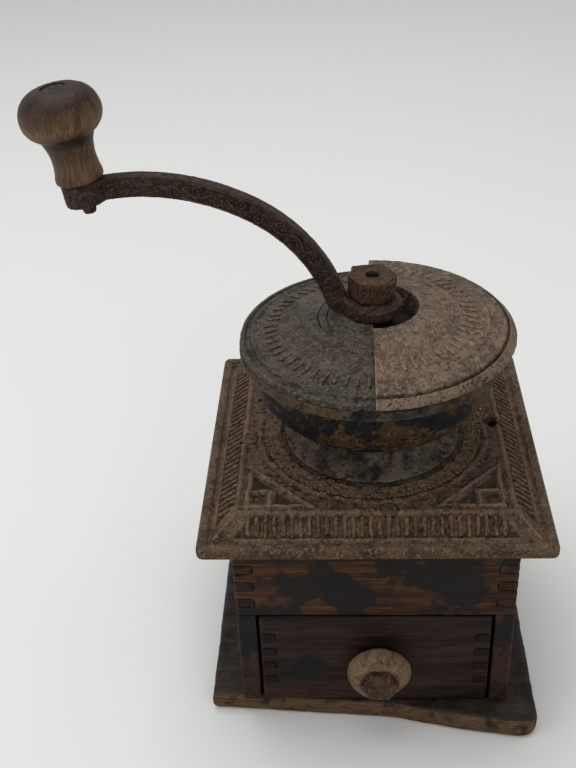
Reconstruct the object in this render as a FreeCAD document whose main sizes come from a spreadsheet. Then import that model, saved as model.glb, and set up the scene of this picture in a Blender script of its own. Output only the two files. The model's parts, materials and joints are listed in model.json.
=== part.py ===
import FreeCAD, Part
import os
import re
import Sketcher

# A box coffee mill: a finger jointed wooden box with a drawer, a cast top plate, a raised
# iron hopper with a fixed and a turning half cover, and a crank with a turned wooden knob.
# Origin: underside of the base board on the spindle axis. +Z up, the drawer faces -Y.

SIZES = {
    # base board, with a worn front edge that runs askew
    "base_thickness": 11.0,
    "base_left_margin": 16.9,
    "base_side_margin": 14.9,
    "base_front_margin": 15.9,
    "base_wear": 4.1,
    "base_skew": 7.1,
    "base_straight": 95.0,
    "base_edge_bow": 570.0,
    "base_corner": 9.0,
    "base_round": 3.5,
    "base_under_round": 2.5,
    # wooden box
    "box_width": 136.2,
    "box_height": 110.5,
    "wall": 9.5,
    "drawer_opening": 61.2,
    "rail_fingers": 9,
    "back_fingers": 21,
    "glue_gap": 0.05,
    "overrun": 1.0,
    # top plate casting
    "plate_overhang": 14.4,
    "plate_rim": 6.5,
    "plate_corner": 3.5,
    "plate_bead": 2.6,
    "band_margin": 6.5,
    "band_run": 12.0,
    "band_root": 1.0,
    "band_rise": 7.7,
    "band_ridge": 1.5,
    "panel_drop": 1.0,
    "plate_skin": 4.5,
    "hollow_inset": 2.0,
    "seat_rib": 7.0,
    "triangle_inset": 3.5,
    "triangle_leg": 17.0,
    "triangle_rise": 1.0,
    # hopper casting
    "throat_radius": 26.0,
    "foot_radius": 43.5,
    "foot_lip": 1.5,
    "foot_flare": 15.0,
    "waist_radius": 31.5,
    "waist_height": 11.3,
    "bowl_start": 14.6,
    "bowl_radius": 60.5,
    "bowl_height": 49.3,
    "bowl_curve": 35.0,
    "hopper_wall": 4.0,
    "rim_overhang": 3.5,
    "rim_height": 5.0,
    "rim_swell": 1.5,
    "ledge_step": 0.5,
    "ledge_depth": 3.5,
    "lug_reach": 14.0,
    "lug_depth": 6.0,
    "lug_margin": 1.0,
    "lug_setback": 0.5,
    # covers
    "cover_slope": 0.2276,
    "cover_skin": 3.0,
    "fixed_setback": 0.5,
    "fixed_rim": 2.5,
    "rim_flat": 2.0,
    "rim_crown": 0.6,
    "groove_width": 0.8,
    "groove_depth": 0.4,
    "fixed_border": 5.5,
    "ridge_foot": 0.8,
    "ridge_root": 0.2,
    "ridge_crown": 0.4,
    "ridge_shoulder": 1.5,
    "field_step": 1.4,
    "fixed_eye": 26.0,
    "cover_setback": 1.0,
    "swing_flange": 4.6,
    "swing_lip_drop": 4.2,
    "lip_edge": 1.4,
    "lip_fall": 1.0,
    "crease_inset": 1.0,
    "swing_eye": 22.0,
    "swing_collar": 3.0,
    "collar_height": 5.4,
    "cover_lift": 4.4,
    "cover_ring": 0.8,
    "ring_border": 9.0,
    "ring_band": 17.0,
    "ring_width": 1.6,
    # spindle bridge, burrs and spindle
    "bridge_width": 12.0,
    "bridge_thickness": 4.0,
    "bridge_boss": 9.0,
    "bridge_setback": 2.0,
    "seat_height": 5.2,
    "boss_fillet": 2.0,
    "boss_height": 6.5,
    "crown_fall": 1.6,
    "spindle_radius": 5.0,
    "spindle_square": 7.0,
    "spindle_thread": 3.5,
    "spindle_tail": 6.2,
    "square_drop": 1.0,
    "thread_drop": 1.0,
    "thread_recess": 3.0,
    "running_gap": 0.05,
    "slide_gap": 0.3,
    "fit_gap": 0.05,
    "burr_flange": 42.0,
    "burr_flange_height": 5.0,
    "burr_outer": 31.0,
    "burr_depth": 38.0,
    "burr_neck": 23.6,
    "burr_neck_depth": 26.0,
    "burr_mouth": 26.6,
    "burr_gap": 1.2,
    "burr_top": 11.0,
    "burr_teeth": 12,
    "tooth_width": 2.4,
    "tooth_depth": 1.6,
    "inner_tooth_depth": 4.6,
    "inner_burr_drop": 4.0,
    "strap_width": 14.0,
    "strap_thickness": 4.0,
    "strap_drop": 8.0,
    "strap_gauge": 2.5,
    "strap_screw_place": 38.0,
    "hopper_screw_place": 25.0,
    "burr_pin": 1.5,
    # crank
    "hub_radius": 14.0,
    "hub_height": 10.0,
    "crank_reach": 129.0,
    "eye_rise": 61.0,
    "eye_lead": 0.5,
    "eye_radius": 9.5,
    "eye_thickness": 10.6,
    "arm_depth": 10.0,
    "arm_width": 7.6,
    "arm_round": 1.4,
    "arm_start": 9.8,
    "arm_root": 8.0,
    "arm_rise": 72.0,
    "arm_knee": 30.0,
    "arm_droop": 8.0,
    "arm_overlap": 4.0,
    "washer_radius": 9.0,
    "washer_thickness": 1.2,
    "nut_width": 20.0,
    "nut_height": 10.0,
    "nut_corner": 1.5,
    "nut_ear": 12.8,
    "nut_ear_height": 3.2,
    "ear_angle": 44.0,
    "ear_blunt": 4.0,
    "nut_lug": 4.4,
    "nut_lug_place": 7.5,
    "lug_angle": 34.0,
    "nut_lug_drop": 1.0,
    "nut_lug_height": 7.5,
    # crank knob
    "knob_tilt": 8.5,
    "knob_height": 46.0,
    "knob_foot": 10.3,
    "knob_foot_height": 2.2,
    "knob_chamfer": 0.8,
    "knob_flare": 32.0,
    "knob_neck": 8.9,
    "knob_neck_height": 9.0,
    "knob_waist": 24.0,
    "knob_shoulder": 13.0,
    "knob_shoulder_height": 20.5,
    "knob_swell": 14.0,
    "knob_head": 18.35,
    "knob_head_height": 31.0,
    "knob_dome": 17.5,
    "knob_crown": 7.0,
    "pin_radius": 3.2,
    "pin_head": 5.2,
    "pin_head_height": 2.4,
    "pin_sink": 0.8,
    "pin_pocket_gap": 0.4,
    "pin_clench": 2.0,
    "pin_clench_edge": 0.6,
    "pin_dome": 1.0,
    "pin_dome_inset": 1.6,
    # drawer
    "drawer_gap": 1.3,
    "drawer_top_gap": 1.1,
    "drawer_back_gap": 3.7,
    "drawer_front_thickness": 10.0,
    "drawer_side": 6.5,
    "drawer_side_inset": 1.0,
    "drawer_side_drop": 5.8,
    "drawer_back": 7.0,
    "drawer_bottom": 4.5,
    "drawer_bottom_lift": 2.0,
    "tenon_height": 4.4,
    "tenon_pitch": 10.0,
    "tenon_count": 4,
    "tenon_top": 12.0,
    # drawer pull
    "pull_side": 2.0,
    "pull_rise": 28.7,
    "pull_radius": 15.7,
    "pull_neck": 9.0,
    "pull_flare": 9.0,
    "pull_length": 15.0,
    "pull_rim_height": 8.0,
    "pull_rim_half": 1.0,
    "pull_rim_round": 2.4,
    "pull_shoulder": 8.0,
    "pull_face": 12.6,
    "pull_edge": 1.4,
    "pull_edge_drop": 1.0,
    "pull_dish": 9.8,
    "pull_dish_depth": 1.5,
    "dish_round": 2.0,
    "dish_slope": 1.0,
    "bolt_radius": 4.0,
    "bolt_head": 15.0,
    "bolt_head_height": 6.0,
    "bolt_round": 1.0,
    "bolt_tail": 2.0,
    "pull_washer": 10.0,
    "pull_washer_thickness": 1.5,
    "pull_nut": 13.0,
    "pull_nut_height": 6.0,
    # screws
    "plate_screw_offset": 6.5,
    "plate_screw_inset": 6.3,
    "plate_screw_head": 5.2,
    "plate_screw_head_height": 2.2,
    "plate_screw": 2.2,
    "plate_screw_grip": 16.0,
    "screw_relief": 1.0,
    "screw_end_gap": 0.4,
    "machine_screw": 2.0,
    "machine_screw_head": 3.6,
    "machine_screw_head_height": 2.2,
    "foot_grip": 3.0,
    "bridge_screw_grip": 5.0,
    "bridge_screw_inset": 8.5,
    "bridge_screw_head": 3.2,
    "bridge_screw_head_height": 1.2,
    "rivet_head": 3.4,
    "rivet_head_height": 1.6,
    "rivet_inset": 19.0,
    "rivet_side": 3.6,
    "rivet_grip": 1.2,
    "rivet_shoulder": 3.2,
    "rivet_shoulder_gap": 0.9,
    "base_screw": 1.8,
    "base_screw_head": 3.6,
    "base_screw_head_height": 2.4,
    "base_screw_sink": 0.4,
    "base_screw_grip": 18.0,
    "base_screw_place": 48.0,
}

# Heights and places that follow from the sizes above, each in terms of those before it.
FOLLOWS = {
    "box_half": "box_width / 2",
    "base_left": "box_half + base_left_margin",
    "base_right": "box_half + base_side_margin",
    "base_back": "box_half + base_side_margin",
    "base_front_left": "box_half - base_wear",
    "base_front_right": "box_half + base_front_margin",
    "box_top": "base_thickness + box_height",
    "opening_top": "base_thickness + drawer_opening",
    "rail_height": "box_height - drawer_opening",
    "rail_finger": "rail_height / rail_fingers",
    "back_finger": "box_height / back_fingers",
    "plate_half": "box_half + plate_overhang",
    "band_foot": "plate_half - band_margin",
    "band_top": "band_foot - band_run",
    "rim_top": "box_top + plate_rim",
    "band_low": "rim_top - band_root",
    "ridge_top": "band_low + band_rise + panel_drop",
    "panel": "ridge_top - panel_drop",
    "panel_under": "panel - plate_skin",
    "plate_screw_line": "box_half - plate_screw_inset",
    "base_screw_line": "box_half - wall / 2",
    "waist": "panel + waist_height",
    "bowl_low": "panel + bowl_start",
    "bowl_high": "panel + bowl_height",
    "hopper_top": "bowl_high + rim_swell + rim_height",
    "rim_radius": "bowl_radius + rim_overhang",
    "ledge_radius": "bowl_radius - hopper_wall + ledge_step",
    "bridge_screw_place": "ledge_radius - bridge_screw_inset",
    "rivet_place": "ledge_radius - rivet_inset",
    "fixed_radius": "rim_radius - fixed_setback",
    "fixed_ridge": "fixed_radius - fixed_border",
    "swing_crease": "rim_radius",
    "swing_radius": "swing_crease + swing_flange",
    "ring_outer": "swing_crease - ring_border",
    "ring_inner": "ring_outer - ring_band",
    "ledge": "hopper_top - ledge_depth",
    "fixed_edge": "hopper_top + fixed_rim",
    "fixed_field": "fixed_edge + field_step",
    "crease": "fixed_field + cover_lift",
    "swing_top": "crease + (swing_crease - swing_eye) * cover_slope",
    "bridge_top": "ledge + bridge_thickness",
    "seat_top": "bridge_top + seat_height",
    "boss_top": "seat_top + boss_height",
    "seat_radius": "swing_eye + swing_collar",
    "crown_radius": "swing_eye - slide_gap",
    "crown_edge": "boss_top - crown_fall",
    "collar_low": "seat_top + slide_gap",
    "hub_low": "boss_top + slide_gap",
    "hub_mid": "hub_low + hub_height / 2",
    "hub_top": "hub_low + hub_height",
    "eye_height": "hub_mid + eye_rise",
    "washer_bore": "spindle_square / 2 / cos(45) + slide_gap",
    "nut_low": "hub_top + washer_thickness",
    "nut_top": "nut_low + nut_height",
    "burr_high": "panel_under",
    "burr_flange_low": "burr_high - burr_flange_height",
    "burr_low": "burr_high - burr_depth",
    "burr_neck_low": "burr_high - burr_neck_depth",
    "strap_low": "burr_low - strap_drop",
    "spindle_end": "strap_low - spindle_tail",
    "strap_inner": "burr_outer + slide_gap",
    "strap_outer": "strap_inner + strap_gauge",
    "strap_foot": "strap_screw_place + machine_screw_head",
    "rivet_seat": "fixed_field - cover_skin + (ledge_radius - cover_setback - rivet_place) * cover_slope",
    "arm_half": "arm_depth / 2",
    "root_x": "arm_start + arm_root * sin(arm_rise)",
    "root_z": "hub_mid + arm_root * (1 - cos(arm_rise))",
    "arm_end_x": "crank_reach - eye_radius - eye_lead",
    "arm_end_z": "eye_height + (eye_radius + eye_lead) * tan(arm_droop)",
    "arm_dx": "arm_end_x - root_x",
    "arm_dz": "arm_end_z - root_z",
    "arm_sa": "sin(arm_rise) - sin(arm_knee)",
    "arm_sb": "sin(arm_knee) + sin(arm_droop)",
    "arm_ca": "cos(arm_knee) - cos(arm_rise)",
    "arm_cb": "cos(arm_droop) - cos(arm_knee)",
    "arm_det": "arm_sa * arm_cb - arm_sb * arm_ca",
    "arm_bend": "(arm_dx * arm_cb - arm_sb * arm_dz) / arm_det",
    "arm_sweep": "(arm_sa * arm_dz - arm_ca * arm_dx) / arm_det",
    "knee_x": "root_x + arm_bend * arm_sa",
    "knee_z": "root_z + arm_bend * arm_ca",
    "pin_bore": "pin_radius + running_gap",
    "pin_pocket": "pin_head + pin_pocket_gap",
    "drawer_half": "box_half - wall - drawer_gap",
    "drawer_front_width": "2 * drawer_half",
    "drawer_front_height": "drawer_opening - drawer_gap - drawer_top_gap",
    "drawer_length": "box_width - wall - drawer_back_gap",
    "drawer_side_height": "drawer_front_height - drawer_side_drop",
    "drawer_low": "base_thickness + slide_gap",
    "front_low": "base_thickness + drawer_gap",
    "front_top": "front_low + drawer_front_height",
    "side_face": "drawer_half - drawer_side_inset",
    "side_inner": "side_face - drawer_side",
    "tenon_low": "front_top - tenon_top - tenon_height - (tenon_count - 1) * tenon_pitch",
    "drawer_floor": "drawer_low + drawer_bottom_lift + drawer_bottom",
    "pull_height": "front_low + pull_rise",
}

FUNCTIONS = {"sin", "cos", "tan"}
NEARLY = 0.01

doc = FreeCAD.newDocument("CoffeeMill")
sizes = doc.addObject("Spreadsheet::Sheet", "Sizes")
sums = doc.addObject("Spreadsheet::Sheet", "Sums")


def fill_sheet():
    """One row for each driving size and, below them, one for each size that follows."""
    for row, (name, number) in enumerate(SIZES.items(), 1):
        sizes.set(f"A{row}", name)
        sizes.set(f"B{row}", str(number))
        sizes.setAlias(f"B{row}", name)
    for row, (name, formula) in enumerate(FOLLOWS.items(), len(SIZES) + 1):
        sizes.set(f"A{row}", name)
        sizes.set(f"B{row}", "=" + formula)
        sizes.setAlias(f"B{row}", name)
    doc.recompute()


def tied(expression):
    """The same sum, with every size in it read from the sheet."""
    def source(word):
        return word[0] if word[0] in FUNCTIONS else "Sizes." + word[0]
    return re.sub(r"[a-z][a-z_0-9]*", source, expression)


def number(expression):
    """What a sum comes to now, for the first position of a sketch's geometry."""
    sums.set("A1", "=" + tied(expression))
    sums.recompute()
    return float(sums.get("A1"))


fill_sheet()
subparts = []


def place(thing, x="0", y="0", z="0"):
    for axis, expression in zip("xyz", (x, y, z)):
        thing.setExpression("Placement.Base." + axis, tied(expression))


def new_body(label, x="0", y="0", z="0", half_turn=False):
    body = doc.addObject("PartDesign::Body", label)
    body.Label = label
    if half_turn:
        body.Placement = FreeCAD.Placement(FreeCAD.Vector(), FreeCAD.Rotation(FreeCAD.Vector(0, 0, 1), 180))
    place(body, x, y, z)
    return body


def piece(thing, label):
    """Name a finished sub-part and put it on the list that is written out."""
    thing.Label = label
    subparts.append(thing)
    return thing


def new_sketch(body, role, lift="0"):
    sketch = body.newObject("Sketcher::SketchObject", body.Name + "_sketch")
    plane = next(item for item in body.Origin.OriginFeatures if item.Role == role)
    sketch.AttachmentSupport = [(plane, "")]
    sketch.MapMode = "FlatFace"
    sketch.setExpression("AttachmentOffset.Base.z", tied(lift))
    return sketch


def pin_down(sketch, geometry, end, x, y):
    """Tie one point of a sketch to sizes from the sheet, measured from the sketch's origin."""
    for kind, expression in (("DistanceX", x), ("DistanceY", y)):
        rule = Sketcher.Constraint(kind, -1, 1, geometry, end, number(expression))
        index = sketch.addConstraint(rule)
        sketch.setExpression(f"Constraints[{index}]", tied(expression))


def add_circle(sketch, x, y, radius):
    centre = FreeCAD.Vector(number(x), number(y), 0)
    circle = sketch.addGeometry(Part.Circle(centre, FreeCAD.Vector(0, 0, 1), number(radius)))
    pin_down(sketch, circle, 3, x, y)
    index = sketch.addConstraint(Sketcher.Constraint("Radius", circle, number(radius)))
    sketch.setExpression(f"Constraints[{index}]", tied(radius))


def arc_between(start, end, radius, left):
    """The short arc from start to end: it turns left or right, and says if it runs backwards."""
    chord = end - start
    side = FreeCAD.Vector(-chord.y, chord.x, 0).normalize()
    reach = (radius ** 2 - (chord.Length / 2) ** 2) ** 0.5
    centre = (start + end) / 2 + side * (reach if left else -reach)
    first, last = (start, end) if left else (end, start)
    circle = Part.Circle(centre, FreeCAD.Vector(0, 0, 1), radius)
    return Part.ArcOfCircle(circle, circle.parameter(first), circle.parameter(last))


def add_outline(sketch, corners):
    """A closed outline. A corner is (x, y), or (x, y, radius, turn) where an arc leaves it."""
    points = [FreeCAD.Vector(number(corner[0]), number(corner[1]), 0) for corner in corners]
    ends = []
    for index, corner in enumerate(corners):
        start = points[index]
        end = points[(index + 1) % len(points)]
        if len(corner) == 2:
            line = sketch.addGeometry(Part.LineSegment(start, end))
            ends.append((line, 1, 2))
            continue
        left = corner[3] == "left"
        arc = sketch.addGeometry(arc_between(start, end, number(corner[2]), left))
        rule = sketch.addConstraint(Sketcher.Constraint("Radius", arc, number(corner[2])))
        sketch.setExpression(f"Constraints[{rule}]", tied(corner[2]))
        ends.append((arc, 1, 2) if left else (arc, 2, 1))
    for index, corner in enumerate(corners):
        before = ends[index - 1]
        after = ends[index]
        sketch.addConstraint(Sketcher.Constraint("Coincident", before[0], before[2], after[0], after[1]))
        pin_down(sketch, after[0], after[1], corner[0], corner[1])


def add_rectangle(sketch, left, low, right, high):
    add_outline(sketch, [(left, low), (right, low), (right, high), (left, high)])


def feature(body, kind, sketch):
    item = body.newObject("PartDesign::" + kind, body.Name + "_" + kind.lower())
    item.Profile = sketch
    return item


def pad(body, sketch, length, reverse=False, symmetric=False):
    item = feature(body, "Pad", sketch)
    item.setExpression("Length", tied(length))
    item.Reversed = reverse
    if symmetric:
        item.SideType = "Symmetric"
    return item


def pocket(body, sketch, depth=None, reverse=False):
    """A cut to a depth, or right through both ways where no depth is given."""
    item = feature(body, "Pocket", sketch)
    item.Reversed = reverse
    if depth is None:
        item.SideType = "Symmetric"
        item.Type = "ThroughAll"
    else:
        item.setExpression("Length", tied(depth))
    return item


def revolve(body, sketch, angle=360.0, symmetric=False):
    item = feature(body, "Revolution", sketch)
    item.ReferenceAxis = (sketch, ["V_Axis"])
    item.Angle = angle
    item.Midplane = symmetric
    return item


def row_of(body, item, sketch, axis, length, count):
    pattern = body.newObject("PartDesign::LinearPattern", body.Name + "_row")
    pattern.Originals = [item]
    pattern.Direction = (sketch, [axis])
    pattern.setExpression("Length", tied(length))
    pattern.setExpression("Occurrences", tied(count))
    body.Tip = pattern
    return pattern


def ring_of(body, item, sketch, count):
    pattern = body.newObject("PartDesign::PolarPattern", body.Name + "_ring")
    pattern.Originals = [item]
    pattern.Axis = (sketch, ["N_Axis"])
    pattern.Angle = 360.0
    pattern.setExpression("Occurrences", tied(count))
    body.Tip = pattern
    return pattern


def soften(body, item, edges, radius):
    """Round the edges that a test picks out of the feature made last."""
    doc.recompute()
    names = [f"Edge{i}" for i, edge in enumerate(item.Shape.Edges, 1) if edges(edge)]
    fillet = body.newObject("PartDesign::Fillet", body.Name + "_round")
    fillet.Base = (item, names)
    fillet.setExpression("Radius", tied(radius))
    return fillet


def is_upright(edge):
    box = edge.BoundBox
    return box.ZLength > NEARLY and box.XLength < NEARLY and box.YLength < NEARLY


def lies_at(height):
    def test(edge):
        box = edge.BoundBox
        return abs(box.ZMin - height) < NEARLY and abs(box.ZMax - height) < NEARLY
    return test


def cylinder(radius, height, x="0", y="0", z="0"):
    item = doc.addObject("Part::Cylinder", "Cylinder")
    item.setExpression("Radius", tied(radius))
    item.setExpression("Height", tied(height))
    place(item, x, y, z)
    return item


def fused(items):
    item = doc.addObject("Part::MultiFuse", "Fused")
    item.Shapes = items
    return item


def cut(base, tool):
    item = doc.addObject("Part::Cut", "Cut")
    item.Base = base
    item.Tool = tool
    return item


def group(label, items):
    item = doc.addObject("Part::Compound", label)
    item.Links = items
    return piece(item, label)


def screw(x, y, head_low, head_radius, head_height, shank_radius, shank_low, shank_length):
    head = cylinder(head_radius, head_height, x, y, head_low)
    shank = cylinder(shank_radius, shank_length, x, y, shank_low)
    return fused([head, shank])


# Where the plate screws sit: each beside the middle of a wall, turned a quarter on. One hole has lost its screw.
PLATE_SCREWS = [
    ("plate_screw_offset", "0 - plate_screw_line"),
    ("0 - plate_screw_offset", "plate_screw_line"),
    ("0 - plate_screw_line", "0 - plate_screw_offset"),
]
EMPTY_HOLE = ("plate_screw_line", "plate_screw_offset")
STRAP_SCREWS = [("strap_screw_place", "0"), ("0 - strap_screw_place", "0")]
HOPPER_SCREWS = [
    ("hopper_screw_place", "hopper_screw_place"),
    ("0 - hopper_screw_place", "hopper_screw_place"),
    ("0 - hopper_screw_place", "0 - hopper_screw_place"),
    ("hopper_screw_place", "0 - hopper_screw_place"),
]


def is_upright_corner(edge):
    """Upright edges at the two right corners and the left back corner of the base board."""
    worn_left = edge.BoundBox.XMin < 0 and edge.BoundBox.YMin < 0
    return is_upright(edge) and not worn_left


def base_board():
    body = new_body("base_board")
    sketch = new_sketch(body, "XY_Plane")
    add_outline(sketch, [
        ("0 - base_left", "0 - base_front_left"),
        ("base_straight - base_left", "0 - base_front_left - base_skew", "base_edge_bow", "left"),
        ("base_right", "0 - base_front_right"),
        ("base_right", "base_back"),
        ("0 - base_left", "base_back"),
    ])
    board = pad(body, sketch, "base_thickness")
    board = soften(body, board, is_upright_corner, "base_corner")
    board = soften(body, board, lies_at(number("base_thickness")), "base_round")
    board = soften(body, board, lies_at(0), "base_under_round")
    holes = new_sketch(body, "XY_Plane")
    heads = new_sketch(body, "XY_Plane")
    for side in ("base_screw_line", "0 - base_screw_line"):
        for end in ("base_screw_place", "0 - base_screw_place"):
            add_circle(holes, side, end, "base_screw + fit_gap")
            add_circle(heads, side, end, "base_screw_head + fit_gap")
    pocket(body, holes)
    pocket(body, heads, "base_screw_head_height + base_screw_sink", reverse=True)
    piece(body, "base_board")


def slots(body, role, left, right, low, height, pitch, count):
    """A row of finger slots cut through a board, one above the other."""
    sketch = new_sketch(body, role)
    add_rectangle(sketch, left, low, right, f"{low} + {height}")
    first = pocket(body, sketch)
    return row_of(body, first, sketch, "V_Axis", f"({count} - 1) * {pitch}", count)


def side_board(label, x, hole_x, plate_hole):
    """A side wall: fingers for the rail at its upper front and for the back board all the way up."""
    body = new_body(label, x, "0 - box_half", "base_thickness")
    sketch = new_sketch(body, "YZ_Plane")
    add_rectangle(sketch, "0", "0", "box_width", "box_height")
    pad(body, sketch, "wall")
    slots(body, "YZ_Plane", "0 - overrun", "wall + glue_gap", "drawer_opening - glue_gap",
          "rail_finger + 2 * glue_gap", "2 * rail_finger", "(rail_fingers + 1) / 2")
    slots(body, "YZ_Plane", "box_width - wall - glue_gap", "box_width + overrun", "0 - glue_gap",
          "back_finger + 2 * glue_gap", "2 * back_finger", "(back_fingers + 1) / 2")
    nails = new_sketch(body, "XY_Plane")
    for end in ("base_screw_place", "0 - base_screw_place"):
        add_circle(nails, "wall / 2", f"box_half + {end}", "base_screw + fit_gap")
    pocket(body, nails, "base_screw_grip", reverse=True)
    top = new_sketch(body, "XY_Plane", "box_height")
    add_circle(top, hole_x, f"box_half + {plate_hole}", "plate_screw + fit_gap")
    pocket(body, top, "plate_screw_grip")
    piece(body, label)


def cross_board(label, y, height, low, finger, count, hole_x, hole_y):
    """A board across the box, at the front or the back, with fingers at both ends."""
    body = new_body(label, "0 - box_half", y, low)
    sketch = new_sketch(body, "XZ_Plane")
    add_rectangle(sketch, "0", "0", "box_width", height)
    pad(body, sketch, "wall", reverse=True)
    for left, right in (("0 - overrun", "wall + glue_gap"),
                        ("box_width - wall - glue_gap", "box_width + overrun")):
        slots(body, "XZ_Plane", left, right, f"{finger} - glue_gap",
              f"{finger} + 2 * glue_gap", f"2 * {finger}", f"({count} - 1) / 2")
    top = new_sketch(body, "XY_Plane", height)
    add_circle(top, f"box_half + {hole_x}", hole_y, "plate_screw + fit_gap")
    pocket(body, top, "plate_screw_grip")
    piece(body, label)


def square(sketch, half):
    add_rectangle(sketch, f"0 - ({half})", f"0 - ({half})", half, half)


def loft(body, kind, low, low_half, high, high_half):
    """A four sided taper between two squares."""
    first = new_sketch(body, "XY_Plane", low)
    square(first, low_half)
    last = new_sketch(body, "XY_Plane", high)
    square(last, high_half)
    item = feature(body, kind, first)
    item.Sections = [last]
    item.Ruled = True
    return item


def top_plate():
    body = new_body("top_plate")
    sketch = new_sketch(body, "XY_Plane", "box_top")
    square(sketch, "plate_half")
    rim = pad(body, sketch, "plate_rim")
    rim = soften(body, rim, is_upright, "plate_corner")
    rim = soften(body, rim, lies_at(number("rim_top")), "plate_bead")
    soften(body, rim, lies_at(number("box_top")), "plate_bead")
    loft(body, "AdditiveLoft", "band_low", "band_foot", "ridge_top", "band_top")
    panel = new_sketch(body, "XY_Plane", "ridge_top")
    square(panel, "band_top - band_ridge")
    pocket(body, panel, "panel_drop")
    loft(body, "SubtractiveLoft", "box_top", "band_foot", "panel_under", "band_top - hollow_inset")
    rib = new_sketch(body, "XY_Plane", "box_top")
    square(rib, "plate_screw_line + seat_rib / 2")
    square(rib, "plate_screw_line - seat_rib / 2")
    pad(body, rib, "panel_under - box_top + overrun")
    corner = new_sketch(body, "XY_Plane", "panel")
    tip = "0 - band_top + band_ridge + triangle_inset"
    add_outline(corner, [(tip, tip), (f"{tip} + triangle_leg", tip), (tip, f"{tip} + triangle_leg")])
    raised = pad(body, corner, "triangle_rise")
    ring_of(body, raised, corner, "4")
    seats = new_sketch(body, "XY_Plane", "ridge_top + triangle_rise")
    for x, y in [*PLATE_SCREWS, EMPTY_HOLE]:
        add_circle(seats, x, y, "plate_screw_head + slide_gap")
    pocket(body, seats, "panel_drop + triangle_rise")
    holes = new_sketch(body, "XY_Plane", "panel")
    add_circle(holes, "0", "0", "throat_radius")
    for x, y in [*PLATE_SCREWS, EMPTY_HOLE]:
        add_circle(holes, x, y, "plate_screw + fit_gap")
    for x, y in STRAP_SCREWS + HOPPER_SCREWS:
        add_circle(holes, x, y, "machine_screw + fit_gap")
    pocket(body, holes)
    piece(body, "top_plate")


def hopper_bowl():
    body = new_body("hopper_bowl")
    sketch = new_sketch(body, "XZ_Plane")
    add_outline(sketch, [
        ("throat_radius", "panel"),
        ("foot_radius", "panel"),
        ("foot_radius", "panel + foot_lip", "foot_flare", "right"),
        ("waist_radius", "waist"),
        ("waist_radius", "bowl_low", "bowl_curve", "left"),
        ("bowl_radius", "bowl_high"),
        ("rim_radius", "bowl_high + rim_swell"),
        ("rim_radius", "hopper_top"),
        ("ledge_radius", "hopper_top"),
        ("ledge_radius", "ledge"),
        ("bowl_radius - hopper_wall", "bowl_high", "bowl_curve - hopper_wall", "right"),
        ("throat_radius", "bowl_low + hopper_wall"),
    ])
    revolve(body, sketch)
    lugs = new_sketch(body, "XY_Plane", "ledge")
    for side in ("1", "0 - 1"):
        add_rectangle(lugs, "0 - bridge_width / 2 - lug_margin", f"{side} * (ledge_radius - lug_reach)",
                      "bridge_width / 2 + lug_margin", f"{side} * (ledge_radius - lug_setback)")
    pad(body, lugs, "lug_depth", reverse=True)
    seats = new_sketch(body, "XY_Plane", "ledge")
    for side in ("bridge_screw_place", "0 - bridge_screw_place"):
        add_circle(seats, "0", side, "machine_screw + fit_gap")
    pocket(body, seats, "bridge_screw_grip")
    holes = new_sketch(body, "XY_Plane", "panel")
    for x, y in HOPPER_SCREWS:
        add_circle(holes, x, y, "machine_screw + fit_gap")
    pocket(body, holes, "foot_grip", reverse=True)
    piece(body, "hopper_bowl")


def fixed_cover():
    body = new_body("fixed_cover", half_turn=True)
    sketch = new_sketch(body, "XZ_Plane")
    field = "fixed_ridge - ridge_shoulder"
    rise = f"({field} - fixed_eye) * cover_slope"
    add_outline(sketch, [
        ("ledge_radius - cover_setback", "hopper_top"),
        ("fixed_radius", "hopper_top"),
        ("fixed_radius", "fixed_edge"),
        ("fixed_radius - rim_flat", "fixed_edge + rim_crown"),
        ("fixed_radius - rim_flat - groove_width", "fixed_edge - groove_depth"),
        ("fixed_ridge + ridge_foot", "fixed_edge + ridge_root"),
        ("fixed_ridge", "fixed_field + ridge_crown"),
        (field, "fixed_field"),
        ("fixed_eye", f"fixed_field + {rise}"),
        ("fixed_eye", f"fixed_field + {rise} - cover_skin"),
        ("ledge_radius - cover_setback", "fixed_field - cover_skin"),
    ])
    revolve(body, sketch, 180.0, symmetric=True)
    holes = new_sketch(body, "XY_Plane", "hopper_top")
    for side in ("rivet_place", "0 - rivet_place"):
        add_circle(holes, "rivet_side", side, "machine_screw + fit_gap")
    pocket(body, holes, "rivet_seat - hopper_top + rivet_grip", reverse=True)
    piece(body, "fixed_cover")


def ring_on_cover(radius):
    """A low raised ring on the sloping cover, as three corners of its outline."""
    surface = f"crease + (swing_crease - {radius}) * cover_slope"
    return [
        (f"{radius} + ring_width / 2", f"{surface} - ring_width / 2 * cover_slope"),
        (radius, f"{surface} + cover_ring"),
        (f"{radius} - ring_width / 2", f"{surface} + ring_width / 2 * cover_slope"),
    ]


def swing_cover():
    body = new_body("swing_cover")
    sketch = new_sketch(body, "XZ_Plane")
    add_outline(sketch, [
        ("swing_eye", "collar_low"),
        ("seat_radius", "collar_low"),
        ("seat_radius", "swing_top - swing_collar * cover_slope - cover_skin"),
        ("swing_crease - crease_inset", "crease - cover_skin + crease_inset * cover_slope"),
        ("swing_radius - lip_edge", "crease - swing_lip_drop - lip_fall"),
        ("swing_radius", "crease - swing_lip_drop"),
        ("swing_crease", "crease"),
        *ring_on_cover("ring_outer"),
        *ring_on_cover("ring_inner"),
        ("swing_eye", "swing_top"),
    ])
    revolve(body, sketch, 180.0, symmetric=True)
    collar = new_sketch(body, "XY_Plane", "collar_low")
    add_circle(collar, "0", "0", "seat_radius")
    add_circle(collar, "0", "0", "swing_eye")
    pad(body, collar, "collar_height")
    piece(body, "swing_cover")


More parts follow.
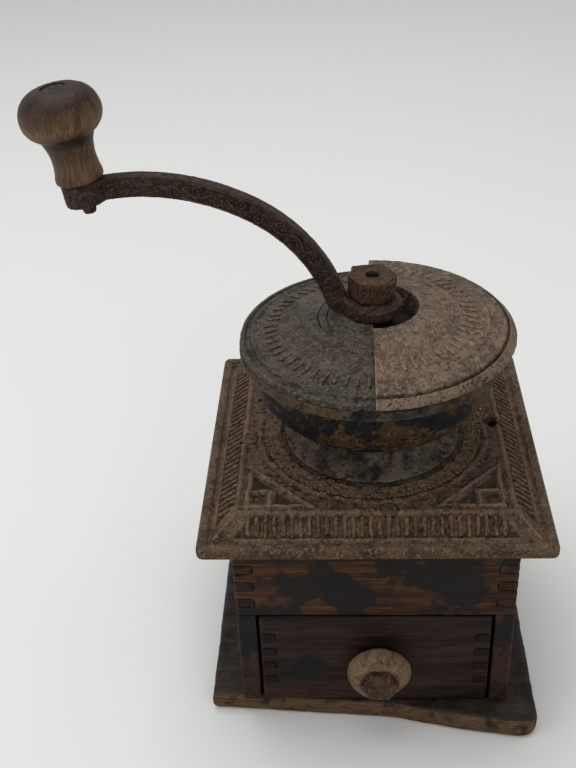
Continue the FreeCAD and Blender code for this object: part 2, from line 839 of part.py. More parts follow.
def spindle_bridge():
    body = new_body("spindle_bridge")
    bar = new_sketch(body, "XY_Plane", "ledge")
    add_rectangle(bar, "0 - bridge_width / 2", "bridge_setback - ledge_radius",
                  "bridge_width / 2", "ledge_radius - bridge_setback")
    pad(body, bar, "bridge_thickness")
    post = new_sketch(body, "XZ_Plane")
    add_outline(post, [
        ("0", "ledge"),
        ("bridge_boss", "ledge"),
        ("seat_radius", "bridge_top"),
        ("seat_radius", "seat_top"),
        ("bridge_boss + boss_fillet", "seat_top", "boss_fillet", "right"),
        ("bridge_boss", "seat_top + boss_fillet"),
        ("bridge_boss", "boss_top"),
        ("0", "boss_top"),
    ])
    revolve(body, post)
    crown = new_sketch(body, "XZ_Plane")
    inner = "0 - spindle_radius - fit_gap - overrun"
    add_outline(crown, [
        (inner, "seat_top - overrun"),
        ("0 - crown_radius", "seat_top - overrun"),
        ("0 - crown_radius", "crown_edge"),
        ("0 - bridge_boss", "boss_top"),
        (inner, "boss_top"),
    ])
    revolve(body, crown, 180.0, symmetric=True)
    holes = new_sketch(body, "XY_Plane", "ledge")
    add_circle(holes, "0", "0", "spindle_radius + running_gap")
    for side in ("1", "0 - 1"):
        add_circle(holes, "0", f"{side} * bridge_screw_place", "machine_screw + fit_gap")
        add_circle(holes, "0 - rivet_side", f"{side} * rivet_place", "machine_screw + fit_gap")
    pocket(body, holes)
    piece(body, "spindle_bridge")


def teeth(body, sketch_role, lift, inner, outer):
    """Grooves cut down a burr, spread round it."""
    sketch = new_sketch(body, sketch_role, lift)
    add_rectangle(sketch, inner, "0 - tooth_width / 2", outer, "tooth_width / 2")
    groove = pocket(body, sketch)
    return ring_of(body, groove, sketch, "burr_teeth")


def outer_burr():
    body = new_body("outer_burr")
    sketch = new_sketch(body, "XZ_Plane")
    add_outline(sketch, [
        ("burr_neck", "burr_neck_low"),
        ("burr_mouth", "burr_low"),
        ("burr_outer", "burr_low"),
        ("burr_outer", "burr_flange_low"),
        ("burr_flange", "burr_flange_low"),
        ("burr_flange", "burr_high"),
        ("throat_radius", "burr_high"),
    ])
    revolve(body, sketch)
    teeth(body, "XY_Plane", "burr_low", "burr_neck - overrun", "burr_mouth + tooth_depth")
    holes = new_sketch(body, "XY_Plane", "burr_flange_low")
    for x, y in STRAP_SCREWS + HOPPER_SCREWS:
        add_circle(holes, x, y, "machine_screw + fit_gap")
    pocket(body, holes)
    piece(body, "outer_burr")


def inner_burr():
    body = new_body("inner_burr")
    sketch = new_sketch(body, "XZ_Plane")
    add_outline(sketch, [
        ("spindle_radius + fit_gap", "burr_low"),
        ("burr_mouth - burr_gap", "burr_low"),
        ("burr_neck - burr_gap", "burr_neck_low"),
        ("burr_top", "burr_high - inner_burr_drop"),
        ("spindle_radius + fit_gap", "burr_high - inner_burr_drop"),
    ])
    revolve(body, sketch)
    teeth(body, "XY_Plane", "burr_low", "burr_mouth - burr_gap - inner_tooth_depth", "burr_mouth")
    hole = new_sketch(body, "XZ_Plane")
    add_circle(hole, "0", "burr_neck_low", "burr_pin + fit_gap")
    pocket(body, hole)
    piece(body, "inner_burr")


def bearing_strap():
    """A strap hung below the burr that steadies the foot of the spindle."""
    body = new_body("bearing_strap")
    sketch = new_sketch(body, "XZ_Plane")
    add_outline(sketch, [
        ("0 - strap_foot", "burr_flange_low - strap_gauge"),
        ("0 - strap_outer", "burr_flange_low - strap_gauge"),
        ("0 - strap_outer", "strap_low"),
        ("strap_outer", "strap_low"),
        ("strap_outer", "burr_flange_low - strap_gauge"),
        ("strap_foot", "burr_flange_low - strap_gauge"),
        ("strap_foot", "burr_flange_low"),
        ("strap_inner", "burr_flange_low"),
        ("strap_inner", "strap_low + strap_thickness"),
        ("0 - strap_inner", "strap_low + strap_thickness"),
        ("0 - strap_inner", "burr_flange_low"),
        ("0 - strap_foot", "burr_flange_low"),
    ])
    pad(body, sketch, "strap_width", symmetric=True)
    holes = new_sketch(body, "XY_Plane", "strap_low")
    add_circle(holes, "0", "0", "spindle_radius + running_gap")
    for x, y in STRAP_SCREWS:
        add_circle(holes, x, y, "machine_screw + fit_gap")
    pocket(body, holes)
    piece(body, "bearing_strap")


def spindle():
    body = new_body("spindle")
    sketch = new_sketch(body, "XY_Plane", "spindle_end")
    add_circle(sketch, "0", "0", "spindle_radius")
    pad(body, sketch, "boss_top - square_drop - spindle_end")
    flats = new_sketch(body, "XY_Plane", "boss_top - square_drop")
    square(flats, "spindle_square / 2")
    pad(body, flats, "hub_top - thread_drop - boss_top + square_drop")
    thread = new_sketch(body, "XY_Plane", "hub_top - thread_drop")
    add_circle(thread, "0", "0", "spindle_thread")
    pad(body, thread, "nut_top - thread_recess - hub_top + thread_drop")
    hole = new_sketch(body, "XZ_Plane")
    add_circle(hole, "0", "burr_neck_low", "burr_pin + fit_gap")
    pocket(body, hole)
    piece(body, "spindle")


def burr_pin():
    """The cross pin that turns the inner burr with the spindle."""
    body = new_body("burr_pin")
    sketch = new_sketch(body, "XZ_Plane")
    add_circle(sketch, "0", "burr_neck_low", "burr_pin")
    pad(body, sketch, "2 * (burr_neck - burr_gap - inner_tooth_depth)", symmetric=True)
    piece(body, "burr_pin")


def above_arm(x, z, heading):
    """A point on the arm's upper edge, square to its heading there."""
    return f"{x} - arm_half * sin({heading})", f"{z} + arm_half * cos({heading})"


def below_arm(x, z, heading):
    return f"{x} + arm_half * sin({heading})", f"{z} - arm_half * cos({heading})"


def crank_arm():
    """Hub, S curved arm and eye. The arm is drawn towards +X and its body is turned half round."""
    body = new_body("crank_curve", half_turn=True)
    sketch = new_sketch(body, "XZ_Plane")
    joints = [
        ("root_x", "root_z", "arm_rise"),
        ("knee_x", "knee_z", "arm_knee"),
        ("arm_end_x", "arm_end_z", "0 - arm_droop"),
    ]
    under = [below_arm(*joint) for joint in joints]
    over = [above_arm(*joint) for joint in joints]
    tip = "arm_overlap"
    add_outline(sketch, [
        ("0", "hub_mid - arm_half"),
        ("arm_start", "hub_mid - arm_half", "arm_root + arm_half", "left"),
        (*under[0], "arm_bend - arm_half", "right"),
        (*under[1], "arm_sweep - arm_half", "right"),
        under[2],
        (f"{under[2][0]} + {tip} * cos(arm_droop)", f"{under[2][1]} - {tip} * sin(arm_droop)"),
        (f"{over[2][0]} + {tip} * cos(arm_droop)", f"{over[2][1]} - {tip} * sin(arm_droop)"),
        (*over[2], "arm_sweep + arm_half", "left"),
        (*over[1], "arm_bend + arm_half", "left"),
        (*over[0], "arm_root - arm_half", "right"),
        ("arm_start", "hub_mid + arm_half"),
        ("0", "hub_mid + arm_half"),
    ])
    bar = pad(body, sketch, "arm_width", symmetric=True)
    soften(body, bar, lies_flat, "arm_round")
    hub = cylinder("hub_radius", "hub_height", z="hub_low")
    eye = cylinder("eye_radius", "eye_thickness")
    bore = cylinder("pin_radius + fit_gap", "eye_thickness + 2 * overrun")
    tilt_on_eye(eye, "0 - eye_thickness / 2")
    tilt_on_eye(bore, "0 - eye_thickness / 2 - overrun")
    drive = doc.addObject("Part::Box", "Drive")
    for side in ("Length", "Width"):
        drive.setExpression(side, tied("spindle_square + 4 * running_gap"))
    drive.setExpression("Height", tied("hub_height + 2 * overrun"))
    corner = "0 - spindle_square / 2 - 2 * running_gap"
    place(drive, corner, corner, "hub_low - overrun")
    whole = cut(fused([body, hub, eye]), fused([bore, drive]))
    piece(whole, "crank_arm")


def lies_flat(edge):
    """The long edges of the arm's two broad faces, not those of its ends."""
    return edge.BoundBox.YLength < NEARLY and edge.Length > number("arm_depth + overrun")


def tilt_on_eye(thing, rise):
    """Stand a piece on the knob's leaning axis, a given way along it from the eye's middle."""
    thing.Placement = FreeCAD.Placement(
        FreeCAD.Vector(), FreeCAD.Rotation(FreeCAD.Vector(0, -1, 0), number("knob_tilt")))
    thing.setExpression("Placement.Rotation.Angle", tied("knob_tilt"))
    place(thing, f"0 - crank_reach - ({rise}) * sin(knob_tilt)", "0",
          f"eye_height + ({rise}) * cos(knob_tilt)")


def thrust_washer():
    body = new_body("thrust_washer", z="hub_top")
    sketch = new_sketch(body, "XY_Plane")
    add_circle(sketch, "0", "0", "washer_radius")
    add_circle(sketch, "0", "0", "washer_bore")
    pad(body, sketch, "washer_thickness")
    piece(body, "thrust_washer")


def hexagon(sketch, x, y, flats):
    """A six sided outline with two flats across the sketch's second axis."""
    half = f"{flats} / 2"
    long = f"{flats} / 2 / cos(30)"
    short = f"{flats} / 4 / cos(30)"
    add_outline(sketch, [
        (f"{x} + {long}", y),
        (f"{x} + {short}", f"{y} + {half}"),
        (f"{x} - {short}", f"{y} + {half}"),
        (f"{x} - {long}", y),
        (f"{x} - {short}", f"{y} - {half}"),
        (f"{x} + {short}", f"{y} - {half}"),
    ])


def adjusting_nut():
    """A thick nut with a pointed ear on its top and a worn round lug opposite."""
    body = new_body("adjusting_nut", z="nut_low")
    sketch = new_sketch(body, "XY_Plane")
    hexagon(sketch, "0", "0", "nut_width")
    block = pad(body, sketch, "nut_height")
    soften(body, block, is_upright, "nut_corner")
    ear = new_sketch(body, "XY_Plane", "nut_height")
    add_outline(ear, [
        ("0", "0"),
        ("0", "nut_width / 2"),
        ("0 - nut_ear * cos(ear_angle + ear_blunt)", "nut_ear * sin(ear_angle + ear_blunt)"),
        ("0 - nut_ear * cos(ear_angle - ear_blunt)", "nut_ear * sin(ear_angle - ear_blunt)"),
        ("0 - nut_width / 2", "0"),
    ])
    pad(body, ear, "nut_ear_height", reverse=True)
    lug = new_sketch(body, "XY_Plane", "nut_height - nut_lug_drop")
    add_circle(lug, "nut_lug_place * cos(lug_angle)", "0 - nut_lug_place * sin(lug_angle)", "nut_lug")
    pad(body, lug, "nut_lug_height", reverse=True)
    hole = new_sketch(body, "XY_Plane")
    add_circle(hole, "0", "0", "spindle_thread + running_gap")
    pocket(body, hole)
    piece(body, "adjusting_nut")


def crank_knob():
    body = new_body("crank_knob")
    sketch = new_sketch(body, "XZ_Plane")
    add_outline(sketch, [
        ("pin_bore", "0"),
        ("knob_foot - knob_chamfer", "0"),
        ("knob_foot", "knob_chamfer"),
        ("knob_foot", "knob_foot_height", "knob_flare", "right"),
        ("knob_neck", "knob_neck_height", "knob_waist", "right"),
        ("knob_shoulder", "knob_shoulder_height", "knob_swell", "left"),
        ("knob_head", "knob_head_height", "knob_dome", "left"),
        ("knob_crown", "knob_height"),
        ("pin_pocket", "knob_height"),
        ("pin_pocket", "knob_height - pin_head_height - pin_sink"),
        ("pin_bore", "knob_height - pin_head_height - pin_sink"),
    ])
    revolve(body, sketch)
    tilt_on_eye(body, "eye_thickness / 2 + slide_gap")
    piece(body, "crank_knob")


def knob_pin():
    """The rivet that the knob turns on: clenched under the eye, with a head sunk in the knob."""
    body = new_body("knob_pin")
    sketch = new_sketch(body, "XZ_Plane")
    tail = "0 - eye_thickness - pin_head_height"
    head = "knob_height - pin_head_height - pin_sink + 2 * slide_gap"
    add_outline(sketch, [
        ("0", tail),
        ("pin_head - pin_clench", tail),
        ("pin_head - pin_clench_edge", "0 - eye_thickness"),
        ("pin_radius", "0 - eye_thickness"),
        ("pin_radius", head),
        ("pin_head", head),
        ("pin_head", f"{head} + pin_head_height - pin_dome"),
        ("pin_head - pin_dome_inset", f"{head} + pin_head_height"),
        ("0", f"{head} + pin_head_height"),
    ])
    revolve(body, sketch)
    tilt_on_eye(body, "eye_thickness / 2")
    piece(body, "knob_pin")


def drawer_front():
    body = new_body("drawer_front", "0 - drawer_half", "0 - box_half", "front_low")
    sketch = new_sketch(body, "XZ_Plane")
    add_rectangle(sketch, "0", "0", "drawer_front_width", "drawer_front_height")
    pad(body, sketch, "drawer_front_thickness", reverse=True)
    mortise = "tenon_low - front_low - glue_gap"
    near = "drawer_side_inset - glue_gap"
    far = "drawer_side_inset + drawer_side + glue_gap"
    for left, right in ((near, far), (f"drawer_front_width - ({far})", f"drawer_front_width - ({near})")):
        slots(body, "XZ_Plane", left, right, mortise, "tenon_height + 2 * glue_gap",
              "tenon_pitch", "tenon_count")
    hole = new_sketch(body, "XZ_Plane")
    add_circle(hole, "drawer_half + pull_side", "pull_rise", "bolt_radius + fit_gap")
    pocket(body, hole)
    piece(body, "drawer_front")


def drawer_side(label, x):
    body = new_body(label, x, "0 - box_half", "drawer_low")
    sketch = new_sketch(body, "YZ_Plane")
    add_rectangle(sketch, "drawer_front_thickness", "0", "drawer_length", "drawer_side_height")
    pad(body, sketch, "drawer_side")
    tenon = new_sketch(body, "YZ_Plane")
    add_rectangle(tenon, "0", "tenon_low - drawer_low", "drawer_front_thickness + overrun",
                  "tenon_low - drawer_low + tenon_height")
    first = pad(body, tenon, "drawer_side")
    row_of(body, first, tenon, "V_Axis", "(tenon_count - 1) * tenon_pitch", "tenon_count")
    piece(body, label)


def drawer_board(label, low_y, high_y, low_z, high_z):
    """A plain board between the drawer's sides."""
    body = new_body(label, "glue_gap - side_inner", low_y, low_z)
    sketch = new_sketch(body, "XY_Plane")
    add_rectangle(sketch, "0", "0", "2 * side_inner - 2 * glue_gap", f"{high_y} - ({low_y})")
    pad(body, sketch, f"{high_z} - ({low_z})")
    piece(body, label)


def face_forward(thing, y):
    """Lay a piece's axis along the drawer's travel, at the pull, so that its +Z points forward."""
    thing.Placement = FreeCAD.Placement(
        FreeCAD.Vector(), FreeCAD.Rotation(FreeCAD.Vector(1, 0, 0), 90))
    place(thing, "pull_side", y, "pull_height")


def drawer_pull():
    body = new_body("drawer_pull")
    sketch = new_sketch(body, "XZ_Plane")
    add_outline(sketch, [
        ("bolt_radius + fit_gap", "0"),
        ("pull_neck", "0", "pull_flare", "right"),
        ("pull_radius", "pull_rim_height - pull_rim_half", "pull_rim_round", "left"),
        ("pull_radius", "pull_rim_height + pull_rim_half", "pull_shoulder", "left"),
        ("pull_face", "pull_length - pull_edge_drop"),
        ("pull_face - pull_edge", "pull_length"),
        ("pull_dish", "pull_length", "dish_round", "right"),
        ("pull_dish - dish_slope", "pull_length - pull_dish_depth"),
        ("bolt_radius + fit_gap", "pull_length - pull_dish_depth"),
    ])
    revolve(body, sketch)
    face_forward(body, "0 - box_half")
    piece(body, "drawer_pull")


def pull_bolt():
    body = new_body("pull_bolt")
    shank = new_sketch(body, "XY_Plane")
    add_circle(shank, "0", "0", "bolt_radius")
    reach = "drawer_front_thickness + pull_washer_thickness + pull_nut_height + bolt_tail"
    pad(body, shank, f"pull_length - pull_dish_depth + {reach}", reverse=True)
    head = new_sketch(body, "XY_Plane")
    hexagon(head, "0", "0", "bolt_head")
    block = pad(body, head, "bolt_head_height")
    soften(body, block, lies_at(number("bolt_head_height")), "bolt_round")
    face_forward(body, "pull_dish_depth - pull_length - box_half")
    piece(body, "pull_bolt")


def pull_washer():
    body = new_body("pull_washer")
    sketch = new_sketch(body, "XY_Plane")
    add_circle(sketch, "0", "0", "pull_washer")
    add_circle(sketch, "0", "0", "bolt_radius + fit_gap")
    pad(body, sketch, "pull_washer_thickness", reverse=True)
    face_forward(body, "drawer_front_thickness - box_half")
    piece(body, "pull_washer")


def pull_nut():
    body = new_body("pull_nut")
    sketch = new_sketch(body, "XY_Plane")
    hexagon(sketch, "0", "0", "pull_nut")
    add_circle(sketch, "0", "0", "bolt_radius + fit_gap")
    pad(body, sketch, "pull_nut_height", reverse=True)
    face_forward(body, "drawer_front_thickness + pull_washer_thickness - box_half")
    piece(body, "pull_nut")


def plate_screws():
    """Three screws hold the plate to the box: the fourth hole is empty, as on the old mill."""
    screws = []
    for x, y in PLATE_SCREWS:
        length = "panel - box_top + plate_screw_grip - screw_relief"
        screws.append(screw(x, y, "panel", "plate_screw_head", "plate_screw_head_height",
                            "plate_screw", f"panel - ({length})", f"{length} + overrun"))
    group("plate_screws", screws)


def hopper_screws():
    screws = []
    for x, y in HOPPER_SCREWS:
        low = "burr_flange_low - machine_screw_head_height"
        screws.append(screw(x, y, low, "machine_screw_head", "machine_screw_head_height",
                            "machine_screw", f"{low} + overrun",
                            f"panel + foot_grip - screw_end_gap - ({low}) - overrun"))
    group("hopper_screws", screws)


def strap_screws():
    screws = []
    for x, y in STRAP_SCREWS:
        low = "burr_flange_low - strap_gauge - machine_screw_head_height"
        screws.append(screw(x, y, low, "machine_screw_head", "machine_screw_head_height",
                            "machine_screw", f"{low} + overrun",
                            f"panel - screw_end_gap - ({low}) - overrun"))
    group("strap_screws", screws)


def bridge_screws():
    screws = []
    for y in ("bridge_screw_place", "0 - bridge_screw_place"):
        low = "ledge - bridge_screw_grip + screw_end_gap"
        screws.append(screw("0", y, "bridge_top", "bridge_screw_head", "bridge_screw_head_height",
                            "machine_screw", low, f"bridge_top + bridge_screw_head_height / 2 - ({low})"))
    group("bridge_screws", screws)


def cover_rivets():
    rivets = []
    for y in ("rivet_place", "0 - rivet_place"):
        head = cylinder("rivet_head", "rivet_head_height", "0 - rivet_side", y, "ledge - rivet_head_height")
        shank = cylinder("machine_screw", "rivet_seat + rivet_grip - screw_end_gap - ledge + overrun",
                         "0 - rivet_side", y, "ledge - overrun")
        shoulder = cylinder("rivet_shoulder", "rivet_seat - rivet_shoulder_gap - bridge_top",
                            "0 - rivet_side", y, "bridge_top")
        rivets.append(fused([head, shank, shoulder]))
    group("cover_rivets", rivets)


def base_screws():
    screws = []
    for x in ("base_screw_line", "0 - base_screw_line"):
        for y in ("base_screw_place", "0 - base_screw_place"):
            length = "base_thickness + base_screw_grip - base_screw_sink - overrun - screw_relief"
            screws.append(screw(x, y, "base_screw_sink", "base_screw_head", "base_screw_head_height",
                                "base_screw", "base_screw_sink + overrun", length))
    group("base_screws", screws)


base_board()
side_board("left_side", "0 - box_half", "plate_screw_inset", "0 - plate_screw_offset")
side_board("right_side", "box_half - wall", "wall - plate_screw_inset", "plate_screw_offset")
cross_board("front_rail", "0 - box_half", "rail_height", "opening_top", "rail_finger", "rail_fingers",
            "plate_screw_offset", "plate_screw_inset")
cross_board("back_board", "box_half - wall", "box_height", "base_thickness", "back_finger",
            "back_fingers", "0 - plate_screw_offset", "wall - plate_screw_inset")
top_plate()
hopper_bowl()
fixed_cover()
swing_cover()
spindle_bridge()
outer_burr()
inner_burr()
bearing_strap()
spindle()
burr_pin()
crank_arm()
thrust_washer()
adjusting_nut()
crank_knob()
knob_pin()
drawer_front()
drawer_side("drawer_left", "0 - side_face")
drawer_side("drawer_right", "side_inner")
drawer_board("drawer_back", "drawer_length - drawer_back - box_half", "drawer_length - box_half",
             "drawer_floor", "drawer_low + drawer_side_height")
drawer_board("drawer_bottom", "drawer_front_thickness - box_half", "drawer_length - box_half",
             "drawer_low + drawer_bottom_lift", "drawer_floor")
drawer_pull()
pull_bolt()
pull_washer()
pull_nut()
plate_screws()
hopper_screws()
strap_screws()
bridge_screws()
cover_rivets()
base_screws()
doc.recompute()


def check():
    """Every feature has to have worked, every cut has to have cut, and every shape has to be sound."""
    for item in doc.Objects:
        if "Invalid" in item.State or "Error" in item.State:
            raise RuntimeError(f"{item.Label} failed: {item.State}")
        if item.TypeId in ("PartDesign::Pocket", "PartDesign::SubtractiveLoft"):
            before = item.BaseFeature.Shape.Volume
            if item.Shape.Volume > before - NEARLY:
                raise RuntimeError(f"{item.Label} cuts nothing")
    for item in subparts:
        shape = item.Shape
        if shape.isNull() or not shape.isValid() or not shape.Solids:
            raise RuntimeError(f"{item.Label} has no sound shape")


check()
os.makedirs("parts", exist_ok=True)
for item in subparts:
    item.Shape.exportStep(f"parts/{item.Label}.step")
    box = item.Shape.BoundBox
    print(f"{item.Label}: {len(item.Shape.Solids)} solid, {item.Shape.Volume:.0f} mm3,"
          f" z {box.ZMin:.1f} to {box.ZMax:.1f}")
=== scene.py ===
# %% [markdown]
# # A box coffee mill
# An old hand mill: a finger jointed box with a drawer, a cast top plate, a raised iron hopper under
# two half covers, and an S curved crank with a turned knob. The CAD model already gives each piece
# its true size and place. This lesson loads it, then gives it its worn shapes and its finishes.

import json
import math

import bmesh
import bpy
import numpy as np
from mathutils import Matrix, Vector, noise


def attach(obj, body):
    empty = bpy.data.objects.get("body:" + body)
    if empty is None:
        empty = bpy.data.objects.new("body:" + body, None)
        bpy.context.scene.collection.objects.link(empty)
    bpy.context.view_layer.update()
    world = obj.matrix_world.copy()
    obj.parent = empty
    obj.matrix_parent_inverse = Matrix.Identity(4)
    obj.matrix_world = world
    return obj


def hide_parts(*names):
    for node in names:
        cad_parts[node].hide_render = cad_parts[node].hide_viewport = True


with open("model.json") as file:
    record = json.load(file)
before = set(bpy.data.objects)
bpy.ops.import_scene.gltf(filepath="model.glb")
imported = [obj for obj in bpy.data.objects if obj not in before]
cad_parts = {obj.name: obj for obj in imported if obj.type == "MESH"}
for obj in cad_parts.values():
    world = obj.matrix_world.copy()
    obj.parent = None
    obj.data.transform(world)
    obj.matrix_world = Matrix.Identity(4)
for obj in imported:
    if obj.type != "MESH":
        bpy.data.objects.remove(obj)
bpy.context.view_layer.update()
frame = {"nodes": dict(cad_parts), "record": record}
nodes = frame["nodes"]
MM, PER_METRE = 0.001, 1000.0

# %% [markdown]
# ## Floor, camera and light
# The mill stands on a plain pale floor. A single wide sheet under it is enough, as the camera looks
# down. The camera is placed by its own right, up and back directions, because the picture leans a
# little, and three wide soft lamps with a pale sky stand in for a bright room.


# %% Floor
def placed(name, data):
    """A new object in the scene that holds the data."""
    item = bpy.data.objects.new(name, data)
    bpy.context.scene.collection.objects.link(item)
    return item


REACH = 6.0
floor_mesh = bpy.data.meshes.new("floor")
floor_mesh.from_pydata([(-REACH, -REACH, 0), (REACH, -REACH, 0), (REACH, REACH, 0), (-REACH, REACH, 0)],
                       [], [(0, 1, 2, 3)])
floor = placed("floor", floor_mesh)
print("floor", 2 * REACH, "m wide")

# %% Camera
PLACE = Vector((-13.04, -454.79, 464.3)) * MM
PITCH, YAW, ROLL = math.radians(33.41), math.radians(-3.59), math.radians(-2.66)
LONG_SIDE, FOCAL_PIXELS = 768, 1099.1
ahead = Vector((math.sin(YAW) * math.cos(PITCH), math.cos(YAW) * math.cos(PITCH), -math.sin(PITCH)))
level = Vector((math.cos(YAW), -math.sin(YAW), 0))
above = level.cross(ahead)
right = level * math.cos(ROLL) + above * math.sin(ROLL)
up = above * math.cos(ROLL) - level * math.sin(ROLL)
lens = bpy.data.cameras.new("camera")
lens.sensor_fit = "VERTICAL"
lens.sensor_height = 36.0
lens.lens = FOCAL_PIXELS / LONG_SIDE * lens.sensor_height
lens.clip_start = 0.01
camera = placed("camera", lens)
camera.matrix_world = Matrix.Translation(PLACE) @ Matrix((right, up, -ahead)).transposed().to_4x4()
bpy.context.scene.camera = camera
print("camera lens", round(lens.lens, 1), "mm")


# %% Lamps and sky
def lamp(name, place, target, size, power):
    data = bpy.data.lights.new(name, "AREA")
    data.shape = "DISK"
    data.size = size
    data.energy = power
    way = Vector(target) - Vector(place)
    facing = way.to_track_quat("-Z", "Y").to_matrix().to_4x4()
    placed(name, data).matrix_world = Matrix.Translation(place) @ facing


lamp("overhead", (-0.25, 0.25, 1.6), (0, 0, 0.1), 1.5, 16)
lamp("left window", (-1.5, -0.5, 1.0), (0, 0, 0.15), 0.9, 5)
lamp("front fill", (0.6, -1.6, 0.9), (0, 0, 0.1), 1.2, 7)
sky = bpy.data.worlds.new("pale room")
sky.use_nodes = True
sky_light = sky.node_tree.nodes["Background"].inputs
sky_light["Color"].default_value = (0.96, 0.975, 1.0, 1)
sky_light["Strength"].default_value = 0.54
bpy.context.scene.world = sky
bpy.context.scene.view_settings.view_transform = "Standard"
print("three lamps and a pale sky")

# %% [markdown]
# ## Shader groups
# Rust, worn edges, painted shade with grime in corners, stains, dust and grain come back on many pieces. Each
# is one node group that only puts out masks and normals, so that every material can mix them with its own
# colours.
# The other way, a separate tree for each material, would be long and would drift apart.


# %% Helpers for node trees
def add_node(tree, kind, inputs=None, **settings):
    """A node with its settings. An input is a value, or a socket to be linked from."""
    item = tree.nodes.new(kind)
    for key, value in settings.items():
        setattr(item, key, value)
    for key, value in (inputs or {}).items():
        if isinstance(value, bpy.types.NodeSocket):
            tree.links.new(value, item.inputs[key])
        else:
            item.inputs[key].default_value = value
    return item


def new_group(name, inputs, outputs, kind="ShaderNodeTree"):
    """An empty node group with named sockets: inputs as (name, type, default)."""
    tree = bpy.data.node_groups.new(name, kind)
    for label, socket_type, default in inputs:
        socket = tree.interface.new_socket(label, in_out="INPUT", socket_type="NodeSocket" + socket_type)
        if default is not None:
            socket.default_value = default
    for label, socket_type in outputs:
        tree.interface.new_socket(label, in_out="OUTPUT", socket_type="NodeSocket" + socket_type)
    return tree, tree.nodes.new("NodeGroupInput").outputs, tree.nodes.new("NodeGroupOutput").inputs


def use_group(tree, group, values):
    return add_node(tree, "ShaderNodeGroup", values, node_tree=group).outputs


def reckon(tree, operation, first, second):
    return add_node(tree, "ShaderNodeMath", {0: first, 1: second}, operation=operation).outputs[0]


def product(tree, first, second):
    return reckon(tree, "MULTIPLY", first, second)


def spread(tree, value, low, high, start=0.0, end=1.0):
    """Stretch a value so that low becomes start and high becomes end, smoothly and within them."""
    return add_node(tree, "ShaderNodeMapRange", {"Value": value, 1: low, 2: high, 3: start, 4: end},
                    interpolation_type="SMOOTHSTEP").outputs[0]


def mixed(tree, mask, first, second):
    """The first colour where the mask is black, and the second where it is white."""
    ends = [tone if isinstance(tone, bpy.types.NodeSocket) else (*tone, 1) for tone in (first, second)]
    return add_node(tree, "ShaderNodeMix", {0: mask, 6: ends[0], 7: ends[1]}, data_type="RGBA").outputs[2]


def cloud(tree, scale, seed, detail=5.0, rough=0.6, where=None, twist=0.0):
    """Fractal noise on Object coordinates, or on the vector given."""
    if where is None:
        where = add_node(tree, "ShaderNodeTexCoord").outputs["Object"]
    return add_node(tree, "ShaderNodeTexNoise", {
        "Vector": where, "W": seed, "Scale": scale, "Detail": detail, "Roughness": rough,
        "Distortion": twist}, noise_dimensions="4D").outputs[0]


print("node helpers ready")

# %% Rust: patches, speckles and pits
tree, given, out = new_group(
    "Rust", [("Patch Size", "Float", 14.0), ("Pit Size", "Float", 1.6), ("Seed", "Float", 0.0)],
    [("Patch", "Float"), ("Speckle", "Float"), ("Pits", "Float"), ("Height", "Float")])
rust_group = tree
patch_scale = reckon(tree, "DIVIDE", PER_METRE, given["Patch Size"])
pit_scale = reckon(tree, "DIVIDE", PER_METRE, given["Pit Size"])
patch = cloud(tree, patch_scale, given["Seed"], 6.0, 0.62)
speckle = cloud(tree, product(tree, patch_scale, 6.0), given["Seed"], 5.0, 0.7)
cells = add_node(tree, "ShaderNodeTexVoronoi", {
    "Vector": add_node(tree, "ShaderNodeTexCoord").outputs["Object"], "Scale": pit_scale}).outputs[0]
pits = product(tree, spread(tree, cells, 0.15, 0.48, 1.0, 0.0), spread(tree, speckle, 0.45, 0.56))
height = reckon(tree, "SUBTRACT", reckon(tree, "ADD", patch, speckle), product(tree, pits, 0.5))
for label, socket in (("Patch", patch), ("Speckle", speckle), ("Pits", pits), ("Height", height)):
    tree.links.new(socket, out[label])
print("group", rust_group.name)

# %% Worn edges: where a rounded normal leaves the true one
tree, given, out = new_group(
    "Worn Edge", [("Radius", "Float", 0.8), ("Amount", "Float", 1.0), ("Seed", "Float", 0.0)],
    [("Mask", "Float"), ("Normal", "Vector")])
edge_group = tree
rounded = add_node(tree, "ShaderNodeBevel", {"Radius": product(tree, given["Radius"], MM)}, samples=6)
true_normal = add_node(tree, "ShaderNodeNewGeometry").outputs["Normal"]
likeness = add_node(tree, "ShaderNodeVectorMath", {0: rounded.outputs[0], 1: true_normal},
                    operation="DOT_PRODUCT").outputs["Value"]
bare = spread(tree, likeness, 0.80, 0.985, 1.0, 0.0)
broken = spread(tree, cloud(tree, 160.0, given["Seed"], 5.0, 0.65), 0.38, 0.6)
mask = product(tree, product(tree, bare, broken), given["Amount"])
tree.links.new(mask, out["Mask"])
tree.links.new(rounded.outputs[0], out["Normal"])
print("group", edge_group.name)

# %% Painted shade and grime in corners, stains in patches, and dust on what faces up
tree, given, out = new_group("Shade And Grime", [("Reach", "Float", 4.0)], [("Mask", "Float")])
shade_and_grime_group = tree
# The mask is ambient occlusion: painted shade in corners and recesses, where grime also gathers.
shelter = add_node(tree, "ShaderNodeAmbientOcclusion",
                   {"Distance": product(tree, given["Reach"], MM)}, samples=6, only_local=False)
tree.links.new(spread(tree, shelter.outputs["AO"], 0.25, 0.85, 1.0, 0.0), out["Mask"])

tree, given, out = new_group(
    "Stain", [("Size", "Float", 20.0), ("Level", "Float", 0.55), ("Softness", "Float", 0.08),
              ("Seed", "Float", 0.0)], [("Mask", "Float")])
stain_group = tree
blotch = cloud(tree, reckon(tree, "DIVIDE", PER_METRE, given["Size"]), given["Seed"], 4.0, 0.48)
stain = spread(tree, blotch, given["Level"], reckon(tree, "ADD", given["Level"], given["Softness"]))
tree.links.new(stain, out["Mask"])

